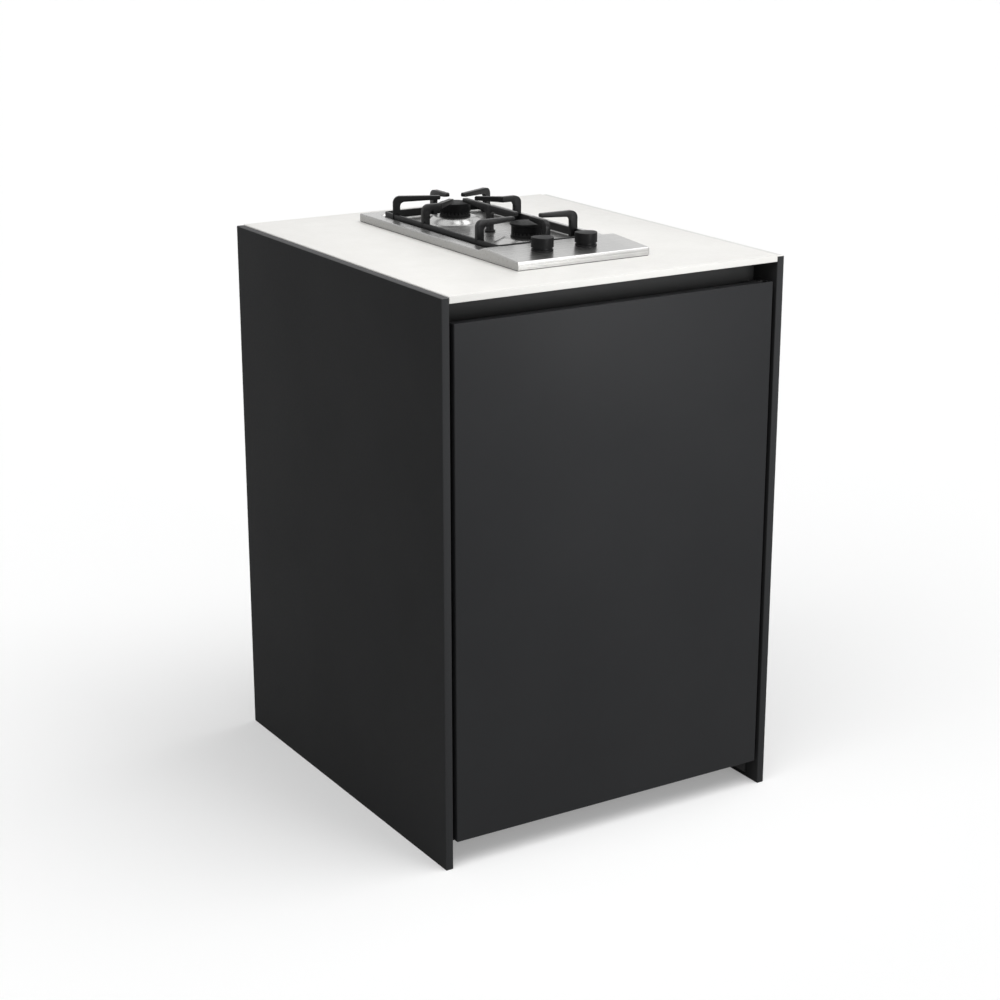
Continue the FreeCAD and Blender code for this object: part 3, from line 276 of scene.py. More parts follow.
def feed(tree, shader, base, roughness, bump=None):
    """Plug colour and roughness into the shader, and a bump given as (height, depth in metres)."""
    tree.links.new(base, shader.inputs["Base Color"])
    tree.links.new(roughness, shader.inputs["Roughness"])
    if bump:
        height, depth = bump
        relief = add_node(tree, "ShaderNodeBump", values={"Distance": depth}, links={"Height": height})
        tree.links.new(relief.outputs[0], shader.inputs["Normal"])


print("finish helpers ready")

# %% [markdown]
# ### Dark laminate
# Side panels, bottom, back and rear rail are matt graphite laminate. Seen close, the surface has a fine
# even grain that breaks up all gloss, and over a whole board the grey drifts a little. The front edges
# of the side panels get a lighter colour, a painted highlight for the light that falls on them from the
# front. Their upper edges get a painted highlight that is lighter still, for the light from above, the
# right one nearly as pale as the worktop beside it. The edges could be pieces of their own, but a board
# is one piece with one finish, so the finish finds the edges by their place on the board.

# %% Graphite laminate
EDGE_DEPTH = 0.9 * MM
PANEL_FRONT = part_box("side_panel_left")[0].y + EDGE_DEPTH
PANEL_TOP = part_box("side_panel_left")[1].z - EDGE_DEPTH
UNIT_MIDDLE = 0.0
# Painted highlight: the front edges are lighter than the faces, for the light from the front.
FRONT_EDGE_PAINTED_HIGHLIGHT = (0.0300, 0.0306, 0.0318, 1)
# Painted highlight: the upper edges are lighter for the light from above, the right one nearly white.
LEFT_TOP_PAINTED_HIGHLIGHT = (0.10, 0.10, 0.102, 1)
RIGHT_TOP_PAINTED_HIGHLIGHT = (0.72, 0.715, 0.70, 1)


def past(tree, axis, place):
    """1 where the object's coordinate on an axis is larger than a place."""
    where = add_node(tree, "ShaderNodeTexCoord")
    apart = add_node(tree, "ShaderNodeSeparateXYZ", links={0: where.outputs["Object"]})
    larger = add_node(tree, "ShaderNodeMath", {"operation": "GREATER_THAN"}, {1: place},
                      {0: apart.outputs[axis]})
    return larger.outputs[0]


def blend(tree, mask, off, on):
    """Colour that is off where the mask is 0 and on where it is 1; both are colours or sockets."""
    mix = add_node(tree, "ShaderNodeMix", {"data_type": "RGBA"}, links={"Factor": mask})
    for name, colour in (("A", off), ("B", on)):
        if isinstance(colour, tuple):
            mix.inputs[name].default_value = colour
        else:
            tree.links.new(colour, mix.inputs[name])
    return mix.outputs["Result"]


tree, shader = new_finish("graphite_laminate", metallic=0.0, specular=0.03)
faces = between(tree, grain(tree, scale=5.0, detail=4.0),
                low=(0.0205, 0.0208, 0.0213), high=(0.0233, 0.0236, 0.0241))
# Painted highlight on the front edges of the side panels.
faces_with_painted_front = blend(tree, past(tree, "Y", PANEL_FRONT), off=FRONT_EDGE_PAINTED_HIGHLIGHT, on=faces)
# Painted highlight on the upper edges of the side panels, pale on the right.
painted_highlight_tops = blend(tree, past(tree, "X", UNIT_MIDDLE), off=LEFT_TOP_PAINTED_HIGHLIGHT, on=RIGHT_TOP_PAINTED_HIGHLIGHT)
feed(tree, shader,
     base=blend(tree, past(tree, "Z", PANEL_TOP), off=faces_with_painted_front, on=painted_highlight_tops),
     roughness=between(tree, grain(tree, scale=240.0), low=0.66, high=0.72),
     bump=(grain(tree, scale=1400.0), 0.10 * MM))
print("graphite laminate: grain about 0.7 mm")

# %% [markdown]
# ### Dark lacquer
# The door and the rail above it have about the same grey as the panels, under a thin satin lacquer that
# mirrors the bright floor faintly. The rail lies back in the finger grip, in the worktop's shade, and its
# colour is made lighter, painted light that lifts this shade.

# %% Graphite lacquer
RAIL_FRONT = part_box("front_rail")[0].y - EDGE_DEPTH

tree, shader = new_finish("graphite_lacquer", metallic=0.0, specular=0.06)
drift = grain(tree, scale=4.0, detail=4.0)
door_coat = between(tree, drift, low=(0.0184, 0.0189, 0.0200), high=(0.0210, 0.0215, 0.0226))
# Painted light: the rail's colour is lighter to lift the worktop's shade on it.
rail_painted_light = between(tree, drift, low=(0.0310, 0.0312, 0.0315), high=(0.0345, 0.0347, 0.0350))
feed(tree, shader,
     base=blend(tree, past(tree, "Y", RAIL_FRONT), off=door_coat, on=rail_painted_light),
     roughness=between(tree, grain(tree, scale=240.0), low=0.39, high=0.43),
     bump=(grain(tree, scale=900.0), 0.05 * MM))
print("graphite lacquer: spray texture about 1 mm")

# %% [markdown]
# ### Pale stone
# The worktop is an off-white slab with faint clouds and small grey flecks, ground to a satin surface. Its
# sawn front edge gets a greyer colour than its face, painted shade for the lesser light on the upright
# edge. One noise makes the clouds. The peaks of a second, much finer one are the flecks, because a peak
# of noise is a small round spot.

# %% White stone
STONE_LIGHT = (0.815, 0.805, 0.780)
STONE_CLOUD = (0.785, 0.775, 0.749)
FLECK = (0.70, 0.69, 0.66, 1)
FLECK_SHARE = 0.30
STONE_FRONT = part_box("worktop")[0].y + EDGE_DEPTH
# Painted shade: the front edge is greyer, for the lesser light on it.
STONE_EDGE_PAINTED_SHADE = (0.575, 0.570, 0.551, 1)

tree, shader = new_finish("white_stone", metallic=0.0, specular=0.25)
clouds = between(tree, grain(tree, scale=22.0, detail=6.0), low=STONE_CLOUD, high=STONE_LIGHT)
peaks = between(tree, grain(tree, scale=420.0, detail=1.0), low=0.0, high=FLECK_SHARE, start=0.66, end=0.76)
flecked = blend(tree, peaks, off=clouds, on=FLECK)
feed(tree, shader,
     base=blend(tree, past(tree, "Y", STONE_FRONT), off=STONE_EDGE_PAINTED_SHADE, on=flecked),
     roughness=between(tree, grain(tree, scale=90.0), low=0.38, high=0.52),
     bump=(grain(tree, scale=700.0), 0.06 * MM))
print("white stone: clouds about 45 mm, flecks about 2 mm")

# %% [markdown]
# ### Metals
# The hob tray is brushed across its width. Brushing could be modelled as thousands of scratches, but
# noise that is stretched along the brush gives the same lines in colour, gloss and bump. A second, coarse
# noise paints soft bands of reflection into the colour. The two side skirts lie across the brush; their
# colour is darker, painted shade for their darker reflection. The hidden sheet is zinc coated, with the
# large crystals that zinc shows. Aluminium and brass have the fine lines of drawn bars.

# %% Brushed steel
STEEL_DARK = (0.45, 0.45, 0.445)
STEEL_LIGHT = (0.55, 0.545, 0.535)
SKIRT_PAINTED_SHADE_DARK = (0.32, 0.32, 0.315)
SKIRT_PAINTED_SHADE_LIGHT = (0.41, 0.405, 0.397)
SKIRT_DEPTH = 1.2 * MM
SKIRT_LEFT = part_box("hob_tray")[0].x + SKIRT_DEPTH
SKIRT_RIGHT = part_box("hob_tray")[1].x - SKIRT_DEPTH
PAINTED_REFLECTION_SHARE = 0.55

tree, shader = new_finish("brushed_steel", metallic=1.0, specular=0.5)
lines = grain(tree, scale=900.0, detail=3.0, stretch=(0.004, 1, 1))
# Painted reflection: coarse bands in the colour stand for soft reflections; the fine lines are the real
# brushing.
painted_reflection_bands = grain(tree, scale=10.0, stretch=(1.6, 0.2, 0.2))
mixed = add_node(tree, "ShaderNodeMix", {"data_type": "FLOAT"}, {"Factor": PAINTED_REFLECTION_SHARE},
                 {"A": lines, "B": painted_reflection_bands})
brush_and_reflection = mixed.outputs["Result"]
top_steel = between(tree, brush_and_reflection, low=STEEL_DARK, high=STEEL_LIGHT, start=0.35, end=0.65)
# Painted shade: the side skirts get darker colours than the top of the tray.
skirt_painted_shade = between(tree, brush_and_reflection, low=SKIRT_PAINTED_SHADE_DARK, high=SKIRT_PAINTED_SHADE_LIGHT, start=0.35, end=0.65)
left_done = blend(tree, past(tree, "X", SKIRT_LEFT), off=skirt_painted_shade, on=top_steel)
feed(tree, shader,
     base=blend(tree, past(tree, "X", SKIRT_RIGHT), off=left_done, on=skirt_painted_shade),
     roughness=between(tree, lines, low=0.25, high=0.33),
     bump=(lines, 0.02 * MM))
print("brushed steel: lines along the hob's width")

# %% Zinc, aluminium and brass
tree, shader = new_finish("galvanised_steel", metallic=1.0, specular=0.5)
place = add_node(tree, "ShaderNodeTexCoord")
crystals = add_node(tree, "ShaderNodeTexVoronoi", values={"Scale": 70.0},
                    links={"Vector": place.outputs["Object"]})
spangle = add_node(tree, "ShaderNodeSeparateColor", links={0: crystals.outputs["Color"]})
feed(tree, shader,
     base=between(tree, spangle.outputs[0], low=(0.40, 0.41, 0.42), high=(0.56, 0.57, 0.58),
                  start=0.0, end=1.0),
     roughness=between(tree, spangle.outputs[1], low=0.34, high=0.52, start=0.0, end=1.0))

tree, shader = new_finish("plain_aluminium", metallic=1.0, specular=0.5)
drawn = grain(tree, scale=600.0, stretch=(1, 0.03, 1))
feed(tree, shader,
     base=between(tree, drawn, low=(0.56, 0.57, 0.58), high=(0.68, 0.69, 0.70)),
     roughness=between(tree, drawn, low=0.30, high=0.42),
     bump=(drawn, 0.04 * MM))

tree, shader = new_finish("brass", metallic=1.0, specular=0.5)
bar_lines = grain(tree, scale=800.0, stretch=(1, 1, 0.05))
feed(tree, shader,
     base=between(tree, bar_lines, low=(0.52, 0.37, 0.14), high=(0.64, 0.47, 0.20)),
     roughness=between(tree, grain(tree, scale=120.0), low=0.24, high=0.38),
     bump=(bar_lines, 0.03 * MM))
print("zinc, aluminium and brass")

# %% [markdown]
# ### Blacks
# Several blacks sit side by side on the hob and differ only in texture and gloss: pebbled enamel on the
# iron pan support, smooth vitreous enamel on the burner caps, sand-cast metal on the burner heads. All
# have a weak gloss, so their sides stay black and only faces seen at a flat angle turn grey.

# %% Pan support, burner caps and burner heads
tree, shader = new_finish("black_cast_iron", metallic=0.0, specular=0.2)
pebbles = grain(tree, scale=650.0)
feed(tree, shader,
     base=between(tree, grain(tree, scale=40.0, detail=3.0),
                  low=(0.0030, 0.0030, 0.0033), high=(0.0050, 0.0050, 0.0053)),
     roughness=between(tree, pebbles, low=0.32, high=0.42),
     bump=(pebbles, 0.20 * MM))

tree, shader = new_finish("black_enamel", metallic=0.0, specular=0.06)
peel = grain(tree, scale=260.0, detail=1.0)
feed(tree, shader,
     base=between(tree, grain(tree, scale=30.0, detail=3.0),
                  low=(0.0030, 0.0030, 0.0033), high=(0.0048, 0.0048, 0.0051)),
     roughness=between(tree, peel, low=0.42, high=0.54),
     bump=(peel, 0.08 * MM))

tree, shader = new_finish("burner_aluminium", metallic=0.3, specular=0.1)
sand = grain(tree, scale=900.0, detail=3.0)
feed(tree, shader,
     base=between(tree, sand, low=(0.008, 0.008, 0.0083), high=(0.014, 0.014, 0.0143)),
     roughness=between(tree, sand, low=0.44, high=0.60),
     bump=(sand, 0.10 * MM))
print("three hob blacks")

# %% [markdown]
# The knobs are moulded plastic with the fine grain of a spark-eroded mould. Powder paint, rubber and the
# white ceramic of the electrodes are on smaller or hidden pieces. Each needs only one or two noises.

# %% Plastic, paint, rubber and ceramic
tree, shader = new_finish("black_plastic", metallic=0.0, specular=0.09)
spark = grain(tree, scale=1800.0)
feed(tree, shader,
     base=between(tree, grain(tree, scale=50.0),
                  low=(0.0045, 0.0045, 0.0048), high=(0.0070, 0.0070, 0.0073)),
     roughness=between(tree, spark, low=0.38, high=0.50),
     bump=(spark, 0.06 * MM))

tree, shader = new_finish("black_painted_steel", metallic=0.0, specular=0.3)
powder = grain(tree, scale=700.0, detail=1.0)
feed(tree, shader,
     base=between(tree, powder, low=(0.010, 0.010, 0.0105), high=(0.016, 0.016, 0.0165)),
     roughness=between(tree, powder, low=0.44, high=0.58),
     bump=(powder, 0.12 * MM))

tree, shader = new_finish("rubber", metallic=0.0, specular=0.3)
bloom = grain(tree, scale=25.0, detail=4.0)
feed(tree, shader,
     base=between(tree, bloom, low=(0.016, 0.016, 0.016), high=(0.026, 0.026, 0.026)),
     roughness=between(tree, bloom, low=0.66, high=0.82),
     bump=(grain(tree, scale=900.0), 0.08 * MM))

tree, shader = new_finish("electrode_ceramic", metallic=0.0, specular=0.5)
glaze = grain(tree, scale=180.0, detail=3.0)
feed(tree, shader,
     base=between(tree, glaze, low=(0.74, 0.72, 0.66), high=(0.82, 0.80, 0.75)),
     roughness=between(tree, glaze, low=0.20, high=0.32),
     bump=(glaze, 0.04 * MM))
print(f"{len(FINISH)} finishes")

# %% [markdown]
# ## Finishes on the CAD pieces
# A CAD node whose shape is already right only needs its finish. The record names a slot for each node,
# and each slot has its finish above, so one loop dresses them all.

# %% Dress the CAD nodes
for name, node in NODES.items():
    node.data.materials.clear()
    node.data.materials.append(FINISH[SLOT_OF[name]])
print(f"{len(NODES)} nodes dressed")

# %% [markdown]
# ## Soft edges
# No real board, bar or moulding has a knife edge: a sawn board is eased, a moulding has a radius. A copy
# of the CAD triangles is merged, its flat faces are joined again, and a bevel rounds every edge that is
# sharper than a given angle. The result replaces the CAD node and rides on the same body.

# %% Helpers for soft edges
MERGE = 0.01 * MM
FLAT = math.radians(0.5)
SHARP_CORNER = math.radians(28)


def add_piece(name, mesh, node):
    """Object for a finished mesh that stands for a CAD node, on its body and with its finish."""
    piece = bpy.data.objects.new(name, mesh)
    bpy.context.scene.collection.objects.link(piece)
    if not mesh.materials:
        mesh.materials.append(FINISH[SLOT_OF[node]])
    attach(piece, NODES[node]["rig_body"])
    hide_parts(node)


def settled_mesh(piece):
    """Plain mesh of an object with its modifiers worked in; the object itself is removed."""
    worked = piece.evaluated_get(bpy.context.evaluated_depsgraph_get())
    settled = bpy.data.meshes.new_from_object(worked)
    bpy.data.objects.remove(piece)
    return settled


def merged_copy(node):
    """Mesh of a CAD node with doubled corners merged and flat faces joined."""
    shape = bmesh.new()
    shape.from_mesh(NODES[node].data)
    bmesh.ops.remove_doubles(shape, verts=shape.verts, dist=MERGE)
    bmesh.ops.dissolve_limit(shape, angle_limit=FLAT, verts=shape.verts, edges=shape.edges)
    mesh = bpy.data.meshes.new(node)
    shape.to_mesh(mesh)
    shape.free()
    return mesh


def soften(node, radius, steps=3):
    """Replace a CAD node by a copy whose sharp edges are rounded."""
    draft = bpy.data.objects.new(f"{node}_draft", merged_copy(node))
    bpy.context.scene.collection.objects.link(draft)
    draft.data.shade_smooth()
    bevel = draft.modifiers.new("eased", "BEVEL")
    bevel.width = radius
    bevel.segments = steps
    bevel.limit_method = "ANGLE"
    bevel.angle_limit = SHARP_CORNER
    bevel.harden_normals = True
    mesh = settled_mesh(draft)
    mesh.name = f"{node}_soft"
    add_piece(f"{node}_soft", mesh, node)


print("helpers for soft edges ready")

# %% Softened pieces
BOARDS = ("side_panel_left", "side_panel_right", "door_panel", "worktop", "front_rail", "rear_rail")
BOARD_EASE = 0.4 * MM
IRON = ("pan_fingers", "centre_pan_bar")
IRON_EASE = 1.2 * MM
MOULDED = ("knob_left", "knob_right", "burner_cap_front", "burner_cap_rear")
MOULDED_EASE = 0.7 * MM

for name in BOARDS:
    soften(name, BOARD_EASE, steps=2)
for name in IRON:
    soften(name, IRON_EASE)
for name in MOULDED:
    soften(name, MOULDED_EASE)
print(f"{len(BOARDS)} boards, {len(IRON)} iron pieces, {len(MOULDED)} knobs and caps softened")

# %% [markdown]
# ## Shapes that follow a rule
# Some pieces are easier to say than to draw: a pressing is a height for every place on the sheet, a
# burner head is one tooth repeated round a ring. Geometry nodes make them from named sizes. A formula
# takes many Math nodes, so a first helper, the term, stands for a number in such a tree: sums and
# products of terms can then be written as plain formulas.

# %% Terms
class Term:
    """Number in a geometry node tree; sums and products of terms become Math nodes."""

    def __init__(self, tree, socket):
        self.tree = tree
        self.socket = socket

    def join(self, operation, *others):
        """Math node on this term and up to two others, which are terms or plain numbers."""
        made = add_node(self.tree, "ShaderNodeMath", {"operation": operation}, links={0: self.socket})
        for place, other in enumerate(others, 1):
            plug(self.tree, made.inputs[place], other)
        return Term(self.tree, made.outputs[0])

    def __add__(self, other):
        return self.join("ADD", other)

    def __sub__(self, other):
        return self.join("SUBTRACT", other)

    def __mul__(self, other):
        return self.join("MULTIPLY", other)

    def __truediv__(self, other):
        return self.join("DIVIDE", other)

    def least(self, other):
        """Smaller of this term and another."""
        return self.join("MINIMUM", other)

    def most(self, other):
        """Larger of this term and another."""
        return self.join("MAXIMUM", other)

    def length(self, other):
        """Length of the vector that has this term and another as its sides."""
        return (self * self + other * other).join("SQRT")

    def rise(self, start, end):
        """0 at start and 1 at end, with a soft curve between them."""
        made = add_node(self.tree, "ShaderNodeMapRange", {"interpolation_type": "SMOOTHSTEP"},
                        links={"Value": self.socket})
        plug(self.tree, made.inputs["From Min"], start)
        plug(self.tree, made.inputs["From Max"], end)
        return Term(self.tree, made.outputs[0])


def plug(tree, socket, source):
    """Set an input to a plain number, or feed it from a term."""
    if isinstance(source, Term):
        tree.links.new(source.socket, socket)
    else:
        socket.default_value = source


print("terms ready")

# %% [markdown]
# The second helper, the rule, is the tree itself. It has a named input for each size. At its end the
# copies are made real and get their finish, and the result is turned into a plain mesh, because a
# finished piece carries no modifier.

# %% Rules
SHARP_EDGE = math.radians(50)


class Rule:
    """Geometry node tree with named sizes that makes one mesh."""

    def __init__(self, name, sizes):
        self.tree = bpy.data.node_groups.new(name, "GeometryNodeTree")
        self.sizes = sizes
        self.tree.interface.new_socket("Mesh", in_out="OUTPUT", socket_type="NodeSocketGeometry")
        self.tree.interface.new_socket("Start", in_out="INPUT", socket_type="NodeSocketGeometry")
        for label, value in sizes.items():
            made = self.tree.interface.new_socket(label, in_out="INPUT", socket_type="NodeSocketFloat")
            made.default_value = value
        self.given = self.tree.nodes.new("NodeGroupInput")

    def size(self, label):
        """Term for one of the named sizes."""
        return Term(self.tree, self.given.outputs[label])

    def node(self, kind, settings=None, values=None, **links):
        """First output of a new node. Links name its inputs, with _ for a space; a list feeds one input."""
        made = add_node(self.tree, kind, settings, values)
        for name, source in links.items():
            socket = made.inputs[name.replace("_", " ")]
            for each in source if isinstance(source, list) else [source]:
                self.tree.links.new(each.socket if isinstance(each, Term) else each, socket)
        return made.outputs[0]

    def place(self):
        """Terms for the x and y of the point at hand."""
        here = self.node("GeometryNodeInputPosition")
        apart = add_node(self.tree, "ShaderNodeSeparateXYZ", links={0: here})
        return Term(self.tree, apart.outputs["X"]), Term(self.tree, apart.outputs["Y"])

    def risen(self, geometry, height):
        """Geometry moved up by a term."""
        up = self.node("ShaderNodeCombineXYZ", Z=height)
        return self.node("GeometryNodeTransform", Geometry=geometry, Translation=up)

    def mesh(self, geometry, slot, start=None):
        """Work the tree out with its sizes and return the plain mesh, in the finish of a slot."""
        whole = self.node("GeometryNodeRealizeInstances", Geometry=geometry)
        smooth = self.node("GeometryNodeSetShadeSmooth", Geometry=whole)
        dressed = self.node("GeometryNodeSetMaterial", None, {"Material": FINISH[slot]}, Geometry=smooth)
        add_node(self.tree, "NodeGroupOutput", links={0: dressed})
        draft = bpy.data.objects.new(self.tree.name, start or bpy.data.meshes.new(self.tree.name))
        bpy.context.scene.collection.objects.link(draft)
        rule = draft.modifiers.new("rule", "NODES")
        rule.node_group = self.tree
        for item in self.tree.interface.items_tree:
            if item.in_out == "INPUT" and item.name in self.sizes:
                rule[item.identifier] = self.sizes[item.name]
        made = settled_mesh(draft)
        made.set_sharp_from_angle(angle=SHARP_EDGE)
        return made


print("rules ready")

# %% [markdown]
# ### Hob tray
# The tray is one pressed steel sheet: a rounded rim, a deck for the knobs that rises towards the well,
# the well with soft walls, and a dome under each burner. A press tool can be milled from fillets, but the
# sheet itself flows in soft curves, so it is made from a grid whose height follows a formula.
#
# The grid is unrolled first: its inner cells lie on the flat top, its outer cells run on over the rim and
# down the skirt, and crowd together where the rim is tightest.

# %% Tray: from grid to rim
TRAY_LOW, TRAY_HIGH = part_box("hob_tray")
TRAY_SIZE = TRAY_HIGH - TRAY_LOW
CREST_OVER_RIM = 6.5 * MM
FLAT_X, FLAT_Y = 61, 128
RIM_CELLS = 12
RIM_CROWDING = 1.6
TINY = 1e-6
FRONT_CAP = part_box("burner_cap_front")
REAR_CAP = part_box("burner_cap_rear")
FRONT_BURNER = (FRONT_CAP[0] + FRONT_CAP[1]) / 2
REAR_BURNER = (REAR_CAP[0] + REAR_CAP[1]) / 2

tray = Rule("hob_tray_rule", {
    "Width": TRAY_SIZE.x, "Depth": TRAY_SIZE.y, "Skirt": TRAY_SIZE.z - CREST_OVER_RIM,
    "Rim Radius": 2.0 * MM, "Deck Rise": CREST_OVER_RIM, "Deck Length": 100 * MM, "Deck Ramp": 20 * MM,
    "Well Half": 103 * MM, "Well Front": 100 * MM, "Well Rear": 485 * MM, "Well Corner": 12 * MM,
    "Well Lip": 1.0 * MM, "Well Wall": 5.5 * MM, "Well Depth": 8 * MM,
    "Dome Foot": 53.5 * MM, "Dome Shoulder": 33 * MM, "Dome Rise": 10 * MM,
    "Front Burner": FRONT_BURNER.y - TRAY_LOW.y, "Rear Burner": REAR_BURNER.y - TRAY_LOW.y,
    "Burner Hole": 22 * MM, "Spindle Hole": 6 * MM})


def unrolled(cell, flat_cells, half, reach):
    """Where a grid line lies on the flat top, and how far it has run on over the rim."""
    count = cell.join("ABSOLUTE")
    side = cell.join("SIGN")
    flat = count.least(flat_cells) * half / flat_cells
    over = ((count - flat_cells).most(0) / RIM_CELLS).join("POWER", RIM_CROWDING) * reach
    return flat * side, over * side


cells_x = 2 * (FLAT_X + RIM_CELLS)
cells_y = 2 * (FLAT_Y + RIM_CELLS)
grid = tray.node("GeometryNodeMeshGrid", None, {"Size X": cells_x, "Size Y": cells_y,
                                                "Vertices X": cells_x + 1, "Vertices Y": cells_y + 1})
column, row = tray.place()
radius = tray.size("Rim Radius")
skirt = tray.size("Skirt")
quarter = radius * (math.pi / 2)
reach = quarter + skirt - radius
flat_x, over_x = unrolled(column, FLAT_X, tray.size("Width") * 0.5 - radius, reach)
flat_y, over_y = unrolled(row, FLAT_Y, tray.size("Depth") * 0.5 - radius, reach)
over = over_x.length(over_y)
turn = (over / radius).least(math.pi / 2)
push = turn.join("SINE") * radius / over.most(TINY)
x = flat_x + over_x * push
y = flat_y + over_y * push
rim_drop = (turn.join("COSINE") - 1) * radius
skirt_share = ((over - quarter) / (reach - quarter)).most(0).least(1)
print(f"tray grid {cells_x} by {cells_y} cells")

# %% [markdown]
# The height has three parts. The deck is a ramp up and a short ramp down, with a soft crest. The well is
# everything inside a rectangle with round corners: the distance to its outline tells how far down the
# soft wall a point is. The domes rise out of the well's floor with the distance to their burner.

# %% Tray: height
CREST_SOFTNESS = 0.15

from_front = y + tray.size("Depth") * 0.5
deck_end = tray.size("Deck Length") + tray.size("Deck Ramp")
falling = (deck_end - from_front) / tray.size("Deck Ramp")
rising = from_front / tray.size("Deck Length")
deck = rising.join("SMOOTH_MIN", falling, CREST_SOFTNESS).most(0) * tray.size("Deck Rise")

well_middle = (tray.size("Well Front") + tray.size("Well Rear")) * 0.5
well_reach = (tray.size("Well Rear") - tray.size("Well Front")) * 0.5
corner = tray.size("Well Corner")
beside = x.join("ABSOLUTE") - tray.size("Well Half") + corner
along = (from_front - well_middle).join("ABSOLUTE") - well_reach + corner
outside = beside.most(0).length(along.most(0)) + beside.most(along).least(0) - corner
sunk = outside.rise(tray.size("Well Lip"), tray.size("Well Wall") * -1)

to_front = x.length(from_front - tray.size("Front Burner"))
to_rear = x.length(from_front - tray.size("Rear Burner"))
dome = to_front.least(to_rear).rise(tray.size("Dome Foot"), tray.size("Dome Shoulder"))
well_floor = dome * tray.size("Dome Rise") - tray.size("Well Depth")

top = deck + (well_floor - deck) * sunk + rim_drop
height = top - (top + skirt) * skirt_share
print("tray height: deck, well and domes")

# %% [markdown]
# Last, the sheet is pierced for the burners and the two spindles, cells that fell together at the corners
# of the skirt are merged, and the sheet is moved to its place in the worktop.

# %% Tray: holes and place
TRAY_MIDDLE = (TRAY_LOW + TRAY_HIGH) / 2
RIM_LEVEL = TRAY_HIGH.z - CREST_OVER_RIM
KNOBS = [(low + high) / 2 - TRAY_MIDDLE for low, high in (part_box("knob_left"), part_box("knob_right"))]

spot = tray.node("ShaderNodeCombineXYZ", X=x, Y=y, Z=height)
pressed = tray.node("GeometryNodeSetPosition", Geometry=grid, Position=spot)
here_x, here_y = tray.place()
here_front = here_y + tray.size("Depth") * 0.5
near_burner = here_x.length(here_front - tray.size("Front Burner")).least(
    here_x.length(here_front - tray.size("Rear Burner")))
near_spindle = (here_x - KNOBS[0].x).length(here_y - KNOBS[0].y).least(
    (here_x - KNOBS[1].x).length(here_y - KNOBS[1].y))
pierced = (tray.size("Burner Hole") - near_burner).most(tray.size("Spindle Hole") - near_spindle)
opened = tray.node("GeometryNodeDeleteGeometry", {"domain": "FACE"}, Geometry=pressed,
                   Selection=pierced.join("GREATER_THAN", 0))
joined = tray.node("GeometryNodeMergeByDistance", None, {"Distance": MERGE}, Geometry=opened)
moved = tray.node("GeometryNodeTransform", None,
                  {"Translation": (TRAY_MIDDLE.x, TRAY_MIDDLE.y, RIM_LEVEL)}, Geometry=joined)
tray_mesh = tray.mesh(moved, "brushed_steel")
add_piece("hob_tray_pressed", tray_mesh, "hob_tray")
print(f"tray: {len(tray_mesh.polygons)} faces")

# %% [markdown]
# ### Frame of the pan support
# The fingers are welded to a bar that is bent into a rectangle with round corners. A bar that follows a
# path is a sweep: one rule draws the path and the rounded section of the bar, and carries the section
# round the path. The bar stands a little higher than the CAD's plain one, so that its upper edge shows
# over the rim as in the photograph.

# %% Pan support frame
FRAME_LOW, FRAME_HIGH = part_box("pan_support")
FRAME_SIZE = FRAME_HIGH - FRAME_LOW
FRAME_MIDDLE = (FRAME_LOW + FRAME_HIGH) / 2
BAR_HIGH = 13 * MM
BAR_SECTION_STEPS = 4
BEND_STEPS = 8

support = Rule("pan_frame_rule", {
    "Width": FRAME_SIZE.x, "Depth": FRAME_SIZE.y, "Bar Wide": 5 * MM, "Bar High": BAR_HIGH,
    "Bar Ease": 1.2 * MM, "Bend": 5.5 * MM})


def rounded_rectangle(rule, wide, high, corner, steps):
    """Closed curve: a rectangle whose corners are arcs."""
    outline = rule.node("GeometryNodeCurvePrimitiveQuadrilateral", Width=wide, Height=high)
    return rule.node("GeometryNodeFilletCurve", {"mode": "POLY"}, {"Count": steps},
                     Curve=outline, Radius=corner)


bar_wide = support.size("Bar Wide")
path = rounded_rectangle(support, support.size("Width") - bar_wide, support.size("Depth") - bar_wide,
                         support.size("Bend"), BEND_STEPS)
section = rounded_rectangle(support, bar_wide, support.size("Bar High"), support.size("Bar Ease"),
                            BAR_SECTION_STEPS)
swept = support.node("GeometryNodeCurveToMesh", Curve=path, Profile_Curve=section)
frame_place = (FRAME_MIDDLE.x, FRAME_MIDDLE.y, FRAME_LOW.z + BAR_HIGH / 2)
lifted = support.node("GeometryNodeTransform", None, {"Translation": frame_place}, Geometry=swept)
frame_mesh = support.mesh(lifted, "black_cast_iron")
add_piece("pan_support_frame", frame_mesh, "pan_support")
print(f"pan support frame: {len(frame_mesh.polygons)} faces, bar {BAR_HIGH / MM:.0f} mm high")

# %% [markdown]
# ### Knob seats
# Each knob stands over a low black seat on the deck. The seat has a collar that reaches up into the
# hollow knob and hides the spindle, so light passes only at the two sides of the gap. It is turned: one
# outline spun round the spindle's axis.

# %% Knob seats
COLLAR_RADIUS = 15.6 * MM
COLLAR_BORE = 9.5 * MM
COLLAR_RISE = 6.0 * MM
SEAT_BORE = 6.0 * MM
SEAT_EASE = 0.4 * MM
TURN_STEPS = 64


